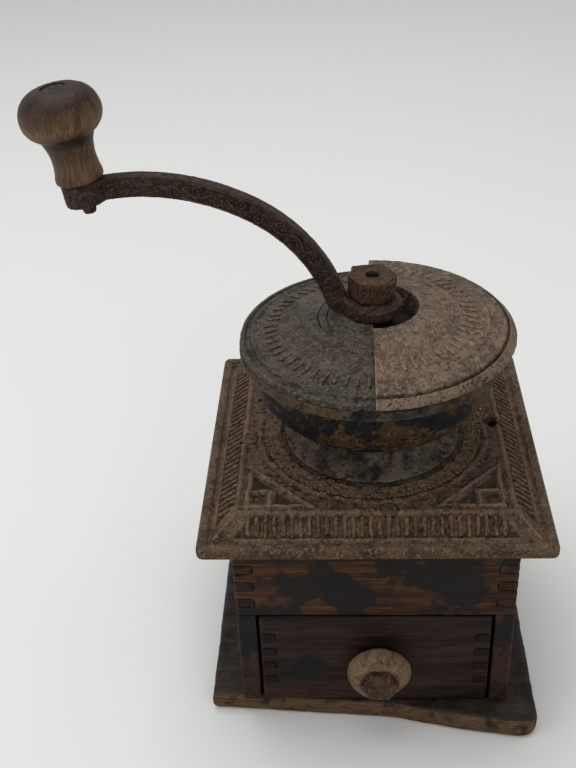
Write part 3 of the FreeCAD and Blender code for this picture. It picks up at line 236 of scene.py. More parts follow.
tree, given, out = new_group(
    "Dust", [("Amount", "Float", 0.4), ("Seed", "Float", 0.0)], [("Mask", "Float")])
dust_group = tree
facing = add_node(tree, "ShaderNodeSeparateXYZ",
                  {0: add_node(tree, "ShaderNodeNewGeometry").outputs["Normal"]}).outputs["Z"]
settled = product(tree, spread(tree, facing, 0.35, 0.95),
                  spread(tree, cloud(tree, 90.0, given["Seed"], 8.0, 0.7), 0.35, 0.75))
tree.links.new(product(tree, settled, given["Amount"]), out["Mask"])
print("groups", shade_and_grime_group.name, stain_group.name, dust_group.name)

# %% Wood grain: noise drawn out along the board
tree, given, out = new_group(
    "Wood Grain", [("Stretch", "Vector", (20, 300, 300)), ("Seed", "Float", 0.0)],
    [("Streak", "Float"), ("Fibre", "Float"), ("Pores", "Float")])
grain_group = tree
place = add_node(tree, "ShaderNodeTexCoord").outputs["Object"]
drawn = add_node(tree, "ShaderNodeVectorMath", {0: place, 1: given["Stretch"]},
                 operation="MULTIPLY").outputs[0]
tree.links.new(cloud(tree, 0.45, given["Seed"], 4.0, 0.55, drawn, 0.8), out["Streak"])
tree.links.new(cloud(tree, 2.6, given["Seed"], 4.0, 0.6, drawn, 0.3), out["Fibre"])
tree.links.new(spread(tree, cloud(tree, 5.0, given["Seed"], 2.0, 0.5, drawn), 0.58, 0.68), out["Pores"])
print("group", grain_group.name)

# %% [markdown]
# ## Finishes
# Two recipes cover the mill. Old iron is a dark ground under brown rust, with light speckles, pits,
# remains of black japan, bare worn edges, painted shade with grime in the corners, a painted highlight
# on ridges, painted shade in grooves and dust on top. Old wood is grain under a dark varnish that is
# rubbed off its edges and stained, with dark seams and painted shade with grime in its corners. The
# shader itself stays in each material, and the groups feed its colour, roughness and bump.

# %% Recipe for old iron
BLACK_JAPAN = (0.006, 0.007, 0.008)
DUST_ON_IRON, DUST_ON_WOOD = (0.17, 0.125, 0.085), (0.17, 0.13, 0.095)
IRON_SHINE, IRON_METAL = 0.48, 0.15
IRON_BUMP, WOOD_BUMP = 1.6 * MM, 0.6 * MM


def painted(tree, name):
    """A number painted on a piece's points: "crest" is relief, which the finishes turn into painted highlight
    and painted shade, and "film" is where a second tone lies.
    """
    return add_node(tree, "ShaderNodeAttribute", attribute_name=name).outputs["Fac"]


def times(colour, share):
    return tuple(min(1.0, part * share) for part in colour)


def laid_over(tree, tone, mask, share, colour):
    """A tone with a colour over it where the mask is white, by the share given."""
    return mixed(tree, product(tree, mask, share), tone, colour)


def new_finish(name):
    """A new material, with its tree and its shader."""
    material = bpy.data.materials.new(name)
    material.use_nodes = True
    return material, material.node_tree, material.node_tree.nodes["Principled BSDF"]


def finished(tree, shader, tone, dullness, gloss, bump):
    """Feed a shader: its colour, roughness and bump are linked, and its gloss is a plain value."""
    tree.links.new(tone, shader.inputs["Base Color"])
    tree.links.new(dullness, shader.inputs["Roughness"])
    tree.links.new(add_node(tree, "ShaderNodeBump", bump).outputs[0], shader.inputs["Normal"])
    shader.inputs["Specular IOR Level"].default_value = gloss


def iron(name, dark, mid, light, seed, patch, pit, relief, dust, japan=0.0, japan_size=24.0, worn=0.5,
         gloss=0.24, film_tone=(0.092, 0.074, 0.055)):
    material, tree, shader = new_finish(name)
    rust = use_group(tree, rust_group, {"Patch Size": patch, "Pit Size": pit, "Seed": seed})
    edge = use_group(tree, edge_group, {"Radius": 0.7, "Amount": worn, "Seed": seed})
    shade_and_grime = use_group(tree, shade_and_grime_group, {"Reach": 5.0})
    fallen = use_group(tree, dust_group, {"Amount": dust, "Seed": seed})
    tone = mixed(tree, spread(tree, rust["Patch"], 0.36, 0.62), dark, mid)
    tone = laid_over(tree, tone, spread(tree, rust["Speckle"], 0.47, 0.63), 0.9, light)
    if japan > 0:
        black = use_group(tree, stain_group, {"Size": japan_size, "Level": 1.0 - japan, "Softness": 0.03,
                                              "Seed": seed})
        tone = laid_over(tree, tone, black["Mask"], 0.94, BLACK_JAPAN)
    film = product(tree, painted(tree, "film"), spread(tree, rust["Patch"], 0.40, 0.58, 0.1, 0.9))
    tone = mixed(tree, film, tone, film_tone)
    tone = laid_over(tree, tone, rust["Pits"], 0.85, times(dark, 0.3))
    # Crest is noise added to the relief's own ridges and grooves. A high crest is lighter, a painted
    # highlight on ridges, and a low crest is darker, painted shade in grooves.
    crest = painted(tree, "crest")
    tone = laid_over(tree, tone, spread(tree, crest, 0.1, 1.0), 0.55, times(light, 1.35))
    tone = laid_over(tree, tone, spread(tree, crest, -0.6, -0.05, 1.0, 0.0), 0.95, times(dark, 0.25))
    tone = mixed(tree, edge["Mask"], tone, times(light, 1.9))
    # Painted shade with grime: darker where ambient occlusion finds corners and recesses.
    tone = laid_over(tree, tone, shade_and_grime["Mask"], 0.65, times(dark, 0.25))
    tone = mixed(tree, fallen["Mask"], tone, DUST_ON_IRON)
    dullness = spread(tree, rust["Speckle"], 0.35, 0.65, IRON_SHINE, IRON_SHINE + 0.32)
    finished(tree, shader, tone, dullness, gloss, {
        "Strength": relief, "Distance": IRON_BUMP, "Height": rust["Height"], "Normal": edge["Normal"]})
    shader.inputs["Metallic"].default_value = IRON_METAL
    return material


# %% Recipe for old wood
WOOD_RELIEF, SHOW_FACE = 0.3, (-67.2 * MM, -66.4 * MM)


def wood(name, dark, mid, light, seed, along, stain, stain_tone=(0.008, 0.008, 0.009), stain_size=30.0,
         edge_of_stain=0.05, bare=(0.16, 0.085, 0.045), worn=0.7, shine=0.42, dust=0.0, front=None,
         gloss=0.1):
    material, tree, shader = new_finish(name)
    grain = use_group(tree, grain_group, {"Stretch": along, "Seed": seed})
    edge = use_group(tree, edge_group, {"Radius": 1.0, "Amount": worn, "Seed": seed})
    shade_and_grime = use_group(tree, shade_and_grime_group, {"Reach": 4.0})
    mark = use_group(tree, stain_group, {"Size": stain_size, "Level": 1.0 - stain,
                                         "Softness": edge_of_stain, "Seed": seed})
    fallen = use_group(tree, dust_group, {"Amount": dust, "Seed": seed})
    tone = mixed(tree, spread(tree, grain["Streak"], 0.32, 0.68), dark, mid)
    tone = laid_over(tree, tone, spread(tree, grain["Fibre"], 0.45, 0.75), 0.7, light)
    tone = laid_over(tree, tone, grain["Pores"], 0.6, times(dark, 0.35))
    tone = laid_over(tree, tone, mark["Mask"], 0.9, stain_tone)
    rubbed = product(tree, painted(tree, "film"), spread(tree, grain["Fibre"], 0.35, 0.6, 0.35, 1.0))
    tone = mixed(tree, rubbed, tone, bare)
    tone = mixed(tree, edge["Mask"], tone, bare)
    if front is not None:
        place = add_node(tree, "ShaderNodeTexCoord").outputs["Object"]
        ahead_place = add_node(tree, "ShaderNodeSeparateXYZ", {0: place}).outputs["Y"]
        tone = mixed(tree, spread(tree, ahead_place, *SHOW_FACE, 1.0, 0.0), tone, front)
    crest = painted(tree, "crest")
    # A low crest is darker: the dark seams of the boards, and painted shadow at the knob's foot and under its
    # ball.
    tone = laid_over(tree, tone, spread(tree, crest, -0.7, -0.1, 1.0, 0.0), 0.8, times(dark, 0.35))
    # Painted shade with grime: darker where ambient occlusion finds corners and recesses.
    tone = laid_over(tree, tone, shade_and_grime["Mask"], 0.6, times(dark, 0.3))
    tone = mixed(tree, fallen["Mask"], tone, DUST_ON_WOOD)
    dullness = spread(tree, grain["Fibre"], 0.3, 0.7, shine, shine + 0.25)
    finished(tree, shader, tone, dullness, gloss, {
        "Strength": WOOD_RELIEF, "Distance": WOOD_BUMP, "Height": grain["Fibre"], "Normal": edge["Normal"]})
    return material


# %% Tone of the floor
cloth, _, cloth_shader = new_finish("pale floor")
cloth_shader.inputs["Base Color"].default_value = (0.69, 0.69, 0.665, 1)
cloth_shader.inputs["Roughness"].default_value = 0.9
floor_mesh.materials.append(cloth)
print("floor finish", cloth.name)

# %% Irons, each as three tones, a seed, the sizes of patches and pits in mm, relief and dust
irons = {
    "plate_iron": dict(
        dark=(0.020, 0.011, 0.006), mid=(0.090, 0.050, 0.027), light=(0.185, 0.118, 0.068),
        seed=3.1, patch=9, pit=1.4, relief=0.8, dust=0.4),
    "hopper_iron": dict(
        dark=(0.014, 0.008, 0.005), mid=(0.047, 0.027, 0.013), light=(0.092, 0.056, 0.029),
        seed=6.4, patch=20, pit=2.2, relief=0.4, dust=0.12, japan=0.475, japan_size=19.0, gloss=0.1,
        film_tone=(0.155, 0.128, 0.099)),
    "dark_cover_iron": dict(
        dark=(0.019, 0.015, 0.012), mid=(0.056, 0.046, 0.035), light=(0.122, 0.100, 0.078),
        seed=8.2, patch=10, pit=1.5, relief=0.75, dust=0.4),
    "brown_cover_iron": dict(
        dark=(0.048, 0.030, 0.019), mid=(0.120, 0.081, 0.053), light=(0.21, 0.150, 0.104),
        seed=11.9, patch=14, pit=1.8, relief=0.6, dust=0.4, film_tone=(0.155, 0.104, 0.068)),
    "crank_iron": dict(
        dark=(0.011, 0.006, 0.004), mid=(0.037, 0.019, 0.011), light=(0.096, 0.056, 0.034),
        seed=14.3, patch=10, pit=1.3, relief=0.8, dust=0.05, worn=0.8),
    "nut_steel": dict(
        dark=(0.013, 0.006, 0.003), mid=(0.047, 0.021, 0.011), light=(0.130, 0.068, 0.037),
        seed=17.6, patch=7, pit=1.2, relief=0.6, dust=0.05, worn=1.0),
    "screw_steel": dict(
        dark=(0.022, 0.014, 0.009), mid=(0.066, 0.042, 0.027), light=(0.130, 0.090, 0.060),
        seed=20.4, patch=5, pit=1.0, relief=0.4, dust=0.2),
    "inner_iron": dict(
        dark=(0.004, 0.003, 0.003), mid=(0.010, 0.008, 0.007), light=(0.022, 0.017, 0.013),
        seed=23.8, patch=14, pit=1.8, relief=0.4, dust=0.0),
    "spindle_steel": dict(
        dark=(0.030, 0.024, 0.020), mid=(0.075, 0.060, 0.050), light=(0.14, 0.12, 0.10),
        seed=27.5, patch=10, pit=1.4, relief=0.25, dust=0.1),
}

# %% Woods, each as three tones, a seed, the way of its grain and its share of stain
ALONG_X, ALONG_Y, ALONG_Z = (22, 330, 330), (330, 22, 330), (330, 330, 30)
case_tones = dict(dark=(0.011, 0.006, 0.004), mid=(0.036, 0.017, 0.010), light=(0.068, 0.036, 0.020))
woods = {
    "box_wood": dict(case_tones, seed=31.0, along=ALONG_Y, stain=0.45),
    "back_wood": dict(case_tones, seed=55.5, along=ALONG_X, stain=0.45),
    "rail_wood": dict(
        dark=(0.015, 0.007, 0.004), mid=(0.060, 0.026, 0.010), light=(0.120, 0.055, 0.020),
        seed=52.8, along=ALONG_X, stain=0.52, stain_tone=(0.009, 0.009, 0.010), stain_size=21.0,
        edge_of_stain=0.06),
    "base_wood": dict(
        dark=(0.010, 0.007, 0.005), mid=(0.026, 0.019, 0.015), light=(0.052, 0.039, 0.030),
        seed=34.6, along=ALONG_X, stain=0.42, bare=(0.105, 0.061, 0.028), worn=0.9, dust=0.2),
    "drawer_front_wood": dict(
        dark=(0.008, 0.005, 0.004), mid=(0.026, 0.013, 0.010), light=(0.048, 0.026, 0.020),
        seed=37.3, along=ALONG_X, stain=0.36),
    "drawer_wood": dict(
        dark=(0.060, 0.036, 0.020), mid=(0.130, 0.082, 0.047), light=(0.190, 0.128, 0.078),
        seed=40.1, along=ALONG_Y, stain=0.36, bare=(0.20, 0.13, 0.08), front=(0.008, 0.005, 0.004)),
    "knob_wood": dict(
        dark=(0.026, 0.013, 0.007), mid=(0.064, 0.032, 0.014), light=(0.138, 0.075, 0.035),
        seed=43.7, along=ALONG_Z, stain=0.40, bare=(0.20, 0.115, 0.06), shine=0.38, gloss=0.2),
    "pull_wood": dict(
        dark=(0.068, 0.043, 0.023), mid=(0.175, 0.118, 0.064), light=(0.27, 0.188, 0.108),
        seed=46.2, along=ALONG_Y, stain=0.28, bare=(0.33, 0.23, 0.13), shine=0.6, dust=0.2),
}

# %% Mix the finishes
finishes = {slot: iron(slot.replace("_", " "), **values) for slot, values in irons.items()}
finishes.update({slot: wood(slot.replace("_", " "), **values) for slot, values in woods.items()})
cross_grained = {"front_rail": finishes["rail_wood"], "back_board": finishes["back_wood"]}
print(len(finishes), "finishes")

# %% Every CAD node takes the finish of its slot
slot_of = {entry["node"]: entry["material_slot"] for entry in frame["record"]["subparts"]}
for name, node in nodes.items():
    node.data.materials.clear()
    node.data.materials.append(cross_grained.get(name, finishes[slot_of[name]]))
print(len(set(slot_of.values())), "slots on", len(nodes), "nodes")

# %% [markdown]
# ## Turned and cast skins
# The CAD skins are exact but a little too clean. Round pieces are made again by turning a softened
# outline about its axis, which gives even faces to roughen. Pieces with no axis are remeshed from a
# copy of the CAD skin and smoothed, as sand cast iron is. Both then get a fine random relief, so
# that the worn surface is real geometry, and not only a bump in the finish.

# %% Helpers for outlines
FULL_TURN, HALF_TURN, QUARTER_TURN = 2 * math.pi, math.pi, math.pi / 2


def softened(corners, step):
    """A closed outline in mm: corners given as (x, z, round) are rounded, and long sides are cut up."""
    points = []
    for index, corner in enumerate(corners):
        here = np.array(corner[:2], float)
        if len(corner) == 2:
            points.append(here)
            continue
        before = np.array(corners[index - 1][:2], float) - here
        after = np.array(corners[(index + 1) % len(corners)][:2], float) - here
        reach = min(corner[2], 0.45 * np.linalg.norm(before), 0.45 * np.linalg.norm(after))
        start = here + before / np.linalg.norm(before) * reach
        end = here + after / np.linalg.norm(after) * reach
        for t in np.linspace(0, 1, 5):
            points.append((1 - t) ** 2 * start + 2 * t * (1 - t) * here + t ** 2 * end)
    fine = []
    for index, here in enumerate(points):
        ahead_of = points[(index + 1) % len(points)]
        pieces = max(1, round(np.linalg.norm(ahead_of - here) / step))
        fine += [here + (ahead_of - here) * k / pieces for k in range(pieces)]
    return np.array(fine)


def bend(start, end, radius, left, count=14):
    """Points along the short arc between two points of an outline, without the end."""
    start, end = np.array(start, float), np.array(end, float)
    chord = end - start
    length = np.linalg.norm(chord)
    side = np.array([-chord[1], chord[0]]) / length * (1 if left else -1)
    centre = (start + end) / 2 + side * math.sqrt(radius ** 2 - length ** 2 / 4)
    first = math.atan2(*(start - centre)[::-1])
    turn = math.atan2(*(end - centre)[::-1]) - first
    turn = (turn + math.pi) % FULL_TURN - math.pi
    angles = first + turn * np.arange(count) / count
    return [(centre[0] + radius * math.cos(a), centre[1] + radius * math.sin(a)) for a in angles]


def turned(corners, step, sides, start=0.0, turn=FULL_TURN):
    """Soften an outline and sweep it about the upright axis, all round or part way with flat ends."""
    outline = softened(corners, step)
    whole = turn == FULL_TURN
    rings = sides if whole else sides + 1
    angles = start + turn * np.arange(rings) / sides
    verts = [(r * math.cos(a), r * math.sin(a), z) for a in angles for r, z in outline]
    n = len(outline)
    faces = []
    for i in range(sides):
        j = (i + 1) % rings
        for k in range(n):
            m = (k + 1) % n
            faces.append((i * n + k, i * n + m, j * n + m, j * n + k))
    if not whole:
        faces.append(tuple(range(n)))
        faces.append(tuple(range((rings - 1) * n, rings * n)))
    return np.array(verts), faces


print("outline helpers ready")

# %% Helpers for meshes
DOUBLE = 1e-6


def merged(mesh, outward=False):
    """Merge the doubled points of a mesh, and turn its faces outward if asked."""
    work = bmesh.new()
    work.from_mesh(mesh)
    bmesh.ops.remove_doubles(work, verts=work.verts, dist=DOUBLE)
    if outward:
        bmesh.ops.recalc_face_normals(work, faces=work.faces)
    work.to_mesh(mesh)
    work.free()


def shell(name, verts, faces, sharp=38):
    """A clean mesh in metres from points in mm: faces outward, and smooth but for sharp edges."""
    mesh = bpy.data.meshes.new(name)
    mesh.from_pydata([tuple(v) for v in np.array(verts) * MM], [], faces)
    merged(mesh, outward=True)
    mesh.shade_smooth()
    mesh.set_sharp_from_angle(angle=math.radians(sharp))
    return mesh


def read_points(mesh):
    """Points in mm, and their normals."""
    points = np.empty(len(mesh.vertices) * 3)
    mesh.vertices.foreach_get("co", points)
    normals = np.empty(len(mesh.vertices) * 3)
    mesh.vertex_normals.foreach_get("vector", normals)
    return points.reshape(-1, 3) / MM, normals.reshape(-1, 3)


def write_points(mesh, points):
    mesh.vertices.foreach_set("co", (points * MM).ravel())
    mesh.update()


def paint(mesh, name, values):
    """Keep a number for each point, for the finishes to read."""
    layer = mesh.attributes.get(name) or mesh.attributes.new(name, "FLOAT", "POINT")
    layer.data.foreach_set("value", np.asarray(values, np.float32))


def fractal(spots, fall=0.9):
    """Fractal noise at each spot."""
    return np.array([noise.fractal(Vector(spot), fall, 2.1, 3) for spot in spots])


def bulge(mesh):
    """How far each point stands out of its neighbours: above 0 on ridges and edges, below 0 in grooves."""
    points, normals = read_points(mesh)
    ends = np.empty(len(mesh.edges) * 2, int)
    mesh.edges.foreach_get("vertices", ends)
    first, second = ends.reshape(-1, 2).T
    total = np.zeros_like(points)
    np.add.at(total, first, points[second])
    np.add.at(total, second, points[first])
    number = np.bincount(ends, minlength=len(points))
    apart = points - total / np.maximum(number, 1)[:, None]
    spacing = np.linalg.norm(points[first] - points[second], axis=1).mean()
    return (apart * normals).sum(1) / spacing


def roughen(mesh, depth, grain, seed, lift=0.0):
    """Push each point in or out by fractal noise, and paint that and the mesh's own ridges as its crest."""
    points, normals = read_points(mesh)
    shift = np.array((seed, 2 * seed, 3 * seed))
    coarse = fractal(points / grain + shift)
    fine = fractal(points / grain * 3.3 - shift, 0.8)
    waves = np.clip(0.65 * coarse + 0.55 * fine, -1, 1)
    write_points(mesh, points + normals * (waves * depth)[:, None])
    paint(mesh, "crest", np.clip(0.7 * waves + 2.2 * bulge(mesh) + lift, -1, 1))
    return mesh


def harvested(holder):
    """What an object's modifiers make, as a plain mesh. The object itself is taken away."""
    seen = holder.evaluated_get(bpy.context.evaluated_depsgraph_get())
    mesh = bpy.data.meshes.new_from_object(seen)
    bpy.data.objects.remove(holder)
    return mesh


def cast_copy(node, voxel, passes):
    """A CAD node's skin as a soft casting: a merged copy, remeshed in small voxels and smoothed."""
    mesh = nodes[node].data.copy()
    merged(mesh)
    holder = placed(node + "_copy", mesh)
    remesh = holder.modifiers.new("remesh", "REMESH")
    remesh.mode = "VOXEL"
    remesh.voxel_size = voxel * MM
    holder.modifiers.new("smooth", "SMOOTH").iterations = passes
    casting = harvested(holder)
    casting.shade_smooth()
    return casting


def keep(name, mesh, body, slot, *stands_for):
    """Put a finished mesh in the scene, on its body and with the finish of its slot."""
    piece = placed(name, mesh)
    mesh.materials.clear()
    mesh.materials.append(finishes[slot])
    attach(piece, body)
    if stands_for:
        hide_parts(*stands_for)
    print(name, len(mesh.polygons), "faces")
    return piece


# %% [markdown]
# ## Hopper
# The hopper is one casting: a flared foot, a waist and a bowl with a thick rim. It is round, so its
# outline is turned. Two lugs inside the rim carry the bar that steadies the spindle, and they are
# short blocks let into the wall.

# %% Hopper bowl
PANEL, RIM = 134.7, 190.5
FOOT_EDGE, FOOT_TOP, WAIST_TOP = PANEL + 1.5, PANEL + 11.3, PANEL + 14.6
BOWL_FLOOR, BOWL_TOP, LEDGE = PANEL + 18.6, PANEL + 49.3, RIM - 3.5
THROAT_R, WAIST_R, FOOT_R, BOWL_R, RIM_R = 26, 31.5, 43.5, 60.5, 64
BOWL_INSIDE_R, LEDGE_R = 56.5, 57
outline = [(THROAT_R, PANEL), (FOOT_R, PANEL, 0.6), (FOOT_R, FOOT_EDGE, 0.8)]
outline += bend((FOOT_R, FOOT_EDGE), (WAIST_R, FOOT_TOP), 15.0, False)[1:]
outline += [(WAIST_R, FOOT_TOP), (WAIST_R, WAIST_TOP)]
outline += bend((WAIST_R, WAIST_TOP), (BOWL_R, BOWL_TOP), 35.0, True, 24)[1:]
outline += [(BOWL_R, BOWL_TOP, 1.0), (RIM_R, PANEL + 50.8, 1.2), (RIM_R, RIM, 1.2), (LEDGE_R, RIM, 0.8),
            (LEDGE_R, LEDGE), (BOWL_INSIDE_R, BOWL_TOP)]
outline += bend((BOWL_INSIDE_R, BOWL_TOP), (THROAT_R, BOWL_FLOOR), 31.0, False, 20)[1:]
outline += [(THROAT_R, BOWL_FLOOR)]
hopper = roughen(shell("hopper", *turned(outline, 1.5, 260), 50), depth=0.22, grain=5.0, seed=1.3)

# %% Pale film on the hopper's foot and rim, and a painted highlight along the lower edges of the foot and the rim
points = read_points(hopper)[0]
blotch = fractal(points / 9.0)
over_panel = points[:, 2] - PANEL
foot_film = np.clip((14.5 - over_panel) / 2.0, 0, 1) * np.clip(0.78 + 0.55 * blotch, 0.25, 1)
# Painted highlight: the foot's lowest 3 mm are fully pale.
toe_highlight = np.clip(3.0 - over_panel, 0, 1)
rim_film_and_highlight = 0.3 * np.clip((over_panel - 48.5) / 3.5, 0, 1) * np.clip(0.5 + blotch, 0.1, 1)
# A thin pale line along the rim's lower edge, as worn metal and a painted highlight.
rim_film_and_highlight += 0.45 * np.clip(1 - ((over_panel - 50.9) / 0.8) ** 2, 0, 1)
paint(hopper, "film", np.maximum.reduce([foot_film, toe_highlight, rim_film_and_highlight]))
keep("hopper_skin", hopper, "case", "hopper_iron", "hopper_bowl")

# %% Lugs for the bar
LUG_SIDE, LUG_DEPTH, LUG_INNER, LUG_SOFT = 7, 6, 43, 0.8


def block(low, high):
    """A rounded block in mm between two corners."""
    work = bmesh.new()
    bmesh.ops.create_cube(work, size=1.0)
    for vert in work.verts:
        vert.co = Vector([a + (b - a) * (c + 0.5) for a, b, c in zip(low, high, vert.co)])
    bmesh.ops.bevel(work, geom=list(work.edges), offset=LUG_SOFT, segments=3, affect="EDGES", profile=0.5)
    work.verts.ensure_lookup_table()
    verts = [tuple(v.co) for v in work.verts]
    faces = [tuple(v.index for v in f.verts) for f in work.faces]
    work.free()
    return verts, faces


verts, faces = [], []
for nearest_y, farthest_y in ((LUG_INNER, BOWL_INSIDE_R), (-BOWL_INSIDE_R, -LUG_INNER)):
    more_verts, more_faces = block((-LUG_SIDE, nearest_y, LEDGE - LUG_DEPTH), (LUG_SIDE, farthest_y, LEDGE))
    faces += [tuple(i + len(verts) for i in face) for face in more_faces]
    verts += more_verts
keep("hopper_lugs", shell("lugs", verts, faces), "case", "hopper_iron")

# %% [markdown]
# ## The two half covers
# The left half is fixed to the rim and the right half turns about the spindle, so that beans can be
# poured in. Each is half of a turned dish. The fixed one has a double ridge at its edge, and the
# turning one a downturned flange and two raised rings. A full collar keeps it on the spindle: the
# dish has one half of it, and a half ring is the other. A half crown closes the fixed cover's middle.

# %% Fixed cover
SLOPE = 0.2276
LEFT_HALF, RIGHT_HALF = (QUARTER_TURN, HALF_TURN), (-QUARTER_TURN, HALF_TURN)
COVER_TOP, COVER_RAISED, COVER_UNDER = 194.4, 195.3, 191.4


def on_fixed_cover(radius, foot=COVER_TOP):
    """Height over a radius of the fixed cover's slope, from the height at its foot."""
    return foot + (BOWL_INSIDE_R - radius) * SLOPE


outline = [(56, RIM), (63.5, RIM, 0.4), (63.5, 193.2, 0.7), (61.7, 194.0, 0.6), (60.8, 192.4, 0.4),
           (59.0, 193.2, 0.5), (57.8, 195.2, 0.7), (56.2, 194.0, 0.5), (32.0, on_fixed_cover(32.0), 0.8),
           (31.0, on_fixed_cover(31.0, COVER_RAISED), 0.8), (26, on_fixed_cover(26, COVER_RAISED), 0.6),
           (26, on_fixed_cover(26, COVER_UNDER), 0.4), (56, COVER_UNDER)]
cover = shell("fixed cover", *turned(outline, 0.9, 210, *LEFT_HALF))
roughen(cover, depth=0.28, grain=3.2, seed=2.1)
keep("fixed_cover_skin", cover, "case", "dark_cover_iron", "fixed_cover")

# %% Turning cover
CREASE, FLANGE_R = 198.8, 64.6
COLLAR_IN, COLLAR_OUT, COLLAR_FOOT, COLLAR_TOP = 21.9, 25.7, 196.5, 202.0


def on_turning_cover(radius):
    return CREASE + (RIM_R - radius) * SLOPE


def ring(radius, width, rise):
    """Corners of a raised ring on the turning cover."""
    outer, inner = radius + width / 2, radius - width / 2
    return [(outer, on_turning_cover(outer), 0.4), (radius, on_turning_cover(radius) + rise, 0.5),
            (inner, on_turning_cover(inner), 0.4)]


outline = [(22, COLLAR_FOOT), (25, COLLAR_FOOT), (25, on_turning_cover(25) - 3), (63, CREASE - 2.77),
           (67.2, 193.6, 0.5), (68.6, 194.6, 0.8), (65.0, CREASE - 0.5, 0.4), (64.5, CREASE - 1.9, 0.2),
           (63.9, CREASE - 1.9, 0.2), (63.5, CREASE - 0.1, 0.3)]
outline += ring(62.6, 1.6, 0.5) + ring(55, 2.2, 0.9) + ring(38, 2.2, 0.9)
outline += [(22, on_turning_cover(22), 0.8)]
cover = shell("turning cover", *turned(outline, 0.9, 220, *RIGHT_HALF))
roughen(cover, depth=0.24, grain=3.6, seed=3.4)
reach = np.hypot(*read_points(cover)[0][:, :2].T)
paint(cover, "film", np.clip((reach - FLANGE_R) / 0.6, 0, 1))
keep("swing_cover_skin", cover, "cover", "brown_cover_iron", "swing_cover")

# %% Other half of the collar, and the crown that closes the fixed half up to the hub
outline = [(COLLAR_IN, COLLAR_FOOT, 0.3), (COLLAR_OUT, COLLAR_FOOT, 0.3), (COLLAR_OUT, COLLAR_TOP, 0.4),
           (COLLAR_IN, COLLAR_TOP, 0.4)]
collar = shell("collar", *turned(outline, 1.0, 90, *LEFT_HALF))
keep("swing_collar", roughen(collar, depth=0.12, grain=3.0, seed=3.9), "cover", "dark_cover_iron")
outline = [(13.0, 200.0), (21.7, 200.0), (21.7, 201.5, 0.6), (19.6, 202.4, 0.5), (18.2, 202.2, 0.5),
           (15.4, 205.4, 0.5), (13.0, 205.6, 0.4)]
crown = shell("crown", *turned(outline, 0.9, 90, *LEFT_HALF))
keep("crown_skin", roughen(crown, depth=0.12, grain=3.0, seed=4.7), "case", "dark_cover_iron")

# %% [markdown]
# ## Crank
# The arm is a cast S curve with a scroll of stems and curls along both flat sides. It could be swept
# along its path, but its hub and eye would still have to be blended in, so the CAD skin is remeshed
# and the scroll is raised on it: each point finds its place along the arm's path and across it.

# %% Path of the arm, from the hub to the eye, as arcs of (first angle, last angle, radius)
ARM_START = (9.8, 208.0)
ARCS = [(0.0, 72.0, 8.0), (72.0, 30.0, -79.11), (30.0, -8.0, -103.1)]
path = []
spot = ARM_START
for first, last, radius in ARCS:
    steps = max(8, int(abs(radius * math.radians(last - first)) / 0.5))
    turn_from = math.radians(first)
    for angle in np.radians(np.linspace(first, last, steps)):
        path.append((spot[0] + radius * (math.sin(angle) - math.sin(turn_from)),
                     spot[1] - radius * (math.cos(angle) - math.cos(turn_from)), angle))
    spot = path[-1]
path = np.array(path)
run = np.concatenate(([0], np.cumsum(np.hypot(*np.diff(path[:, :2], axis=0).T))))
print("arm", round(run[-1], 1), "mm long, ends at", path[-1, :2].round(1))


# %% Shapes for heights
def step(value, low, high):
    """0 below low and 1 above high, with a smooth run between them."""
    t = np.clip((value - low) / (high - low), 0, 1)
    return t * t * (3 - 2 * t)


def line(value, width):
    """A rounded ridge: 1 on the line, and 0 beyond its width."""
    return np.clip(1 - (value / width) ** 2, 0, 1)


def scroll(along, across):
    """Height from 0 to 1 of a wavy stem with a curl in each bend and a bead near each edge."""
    wave = 20.0
    stem = 1.9 * np.sin(2 * np.pi * along / wave)
    bend_number = np.floor(along / (wave / 2))
    middle = (bend_number + 0.5) * wave / 2
    side = np.where(bend_number % 2 == 0, -1.0, 1.0)
    away = np.hypot(along - middle, across - side * 1.2)
    return np.maximum.reduce([line(across - stem, 0.75), line(away - 1.9, 0.6), line(away, 0.8),
                              line(np.abs(across) - 4.0, 0.55)])


print("height helpers ready")

# %% Arm with its scroll
HUB_TOP, ARM_HALF, SCROLL_HEIGHT, SCROLL_SUNK = 213.0, 4.8, 0.85, 0.4
crank = cast_copy("crank_arm", voxel=0.38, passes=3)
points, normals = read_points(crank)
flat = np.abs(normals[:, 1]) > 0.75
place = np.column_stack((-points[flat, 0], points[flat, 2]))
nearest = np.concatenate([np.argmin(((part[:, None] - path[None, :, :2]) ** 2).sum(2), axis=1)
                          for part in np.array_split(place, 40)])
offset = place - path[nearest, :2]
across = -offset[:, 0] * np.sin(path[nearest, 2]) + offset[:, 1] * np.cos(path[nearest, 2])
along = run[nearest]
on_arm = (np.abs(across) < ARM_HALF) & (along > 9) & (along < run[-1] - 1)
kept = np.interp(along, [18, 40, run[-1] - 45, run[-1] - 20], [0.15, 1, 1, 0.15])
wear = fractal(np.column_stack((along / 9.0, across / 4.0, np.full(len(along), 2.2))))
raised = SCROLL_HEIGHT * kept * np.clip(0.75 + wear, 0.15, 1) * scroll(along, across)
points[flat] += normals[flat] * np.where(on_arm, raised - SCROLL_SUNK, 0)[:, None]

# %% Hub of the arm: a sloping shoulder above, and a raised underside
reach = np.hypot(points[:, 0], points[:, 1])
shoulder = np.clip((reach - 8.5) / 5.5, 0, 1.2) ** 2 * np.clip((points[:, 2] - 206.5) / 6.0, 0, 1)
points[:, 2] -= 3.4 * shoulder * np.clip((points[:, 0] + 9.0) / 6.0, 0, 1) * (reach < 15.5)
under = np.clip((HUB_TOP - points[:, 2]) / 10.0, 0, 1) * np.clip((18.0 - reach) / 4.0, 0, 1)
points[:, 2] += 2.8 * under
write_points(crank, points)
keep("crank_skin", roughen(crank, depth=0.18, grain=2.8, seed=4.2), "crank", "crank_iron", "crank_arm")

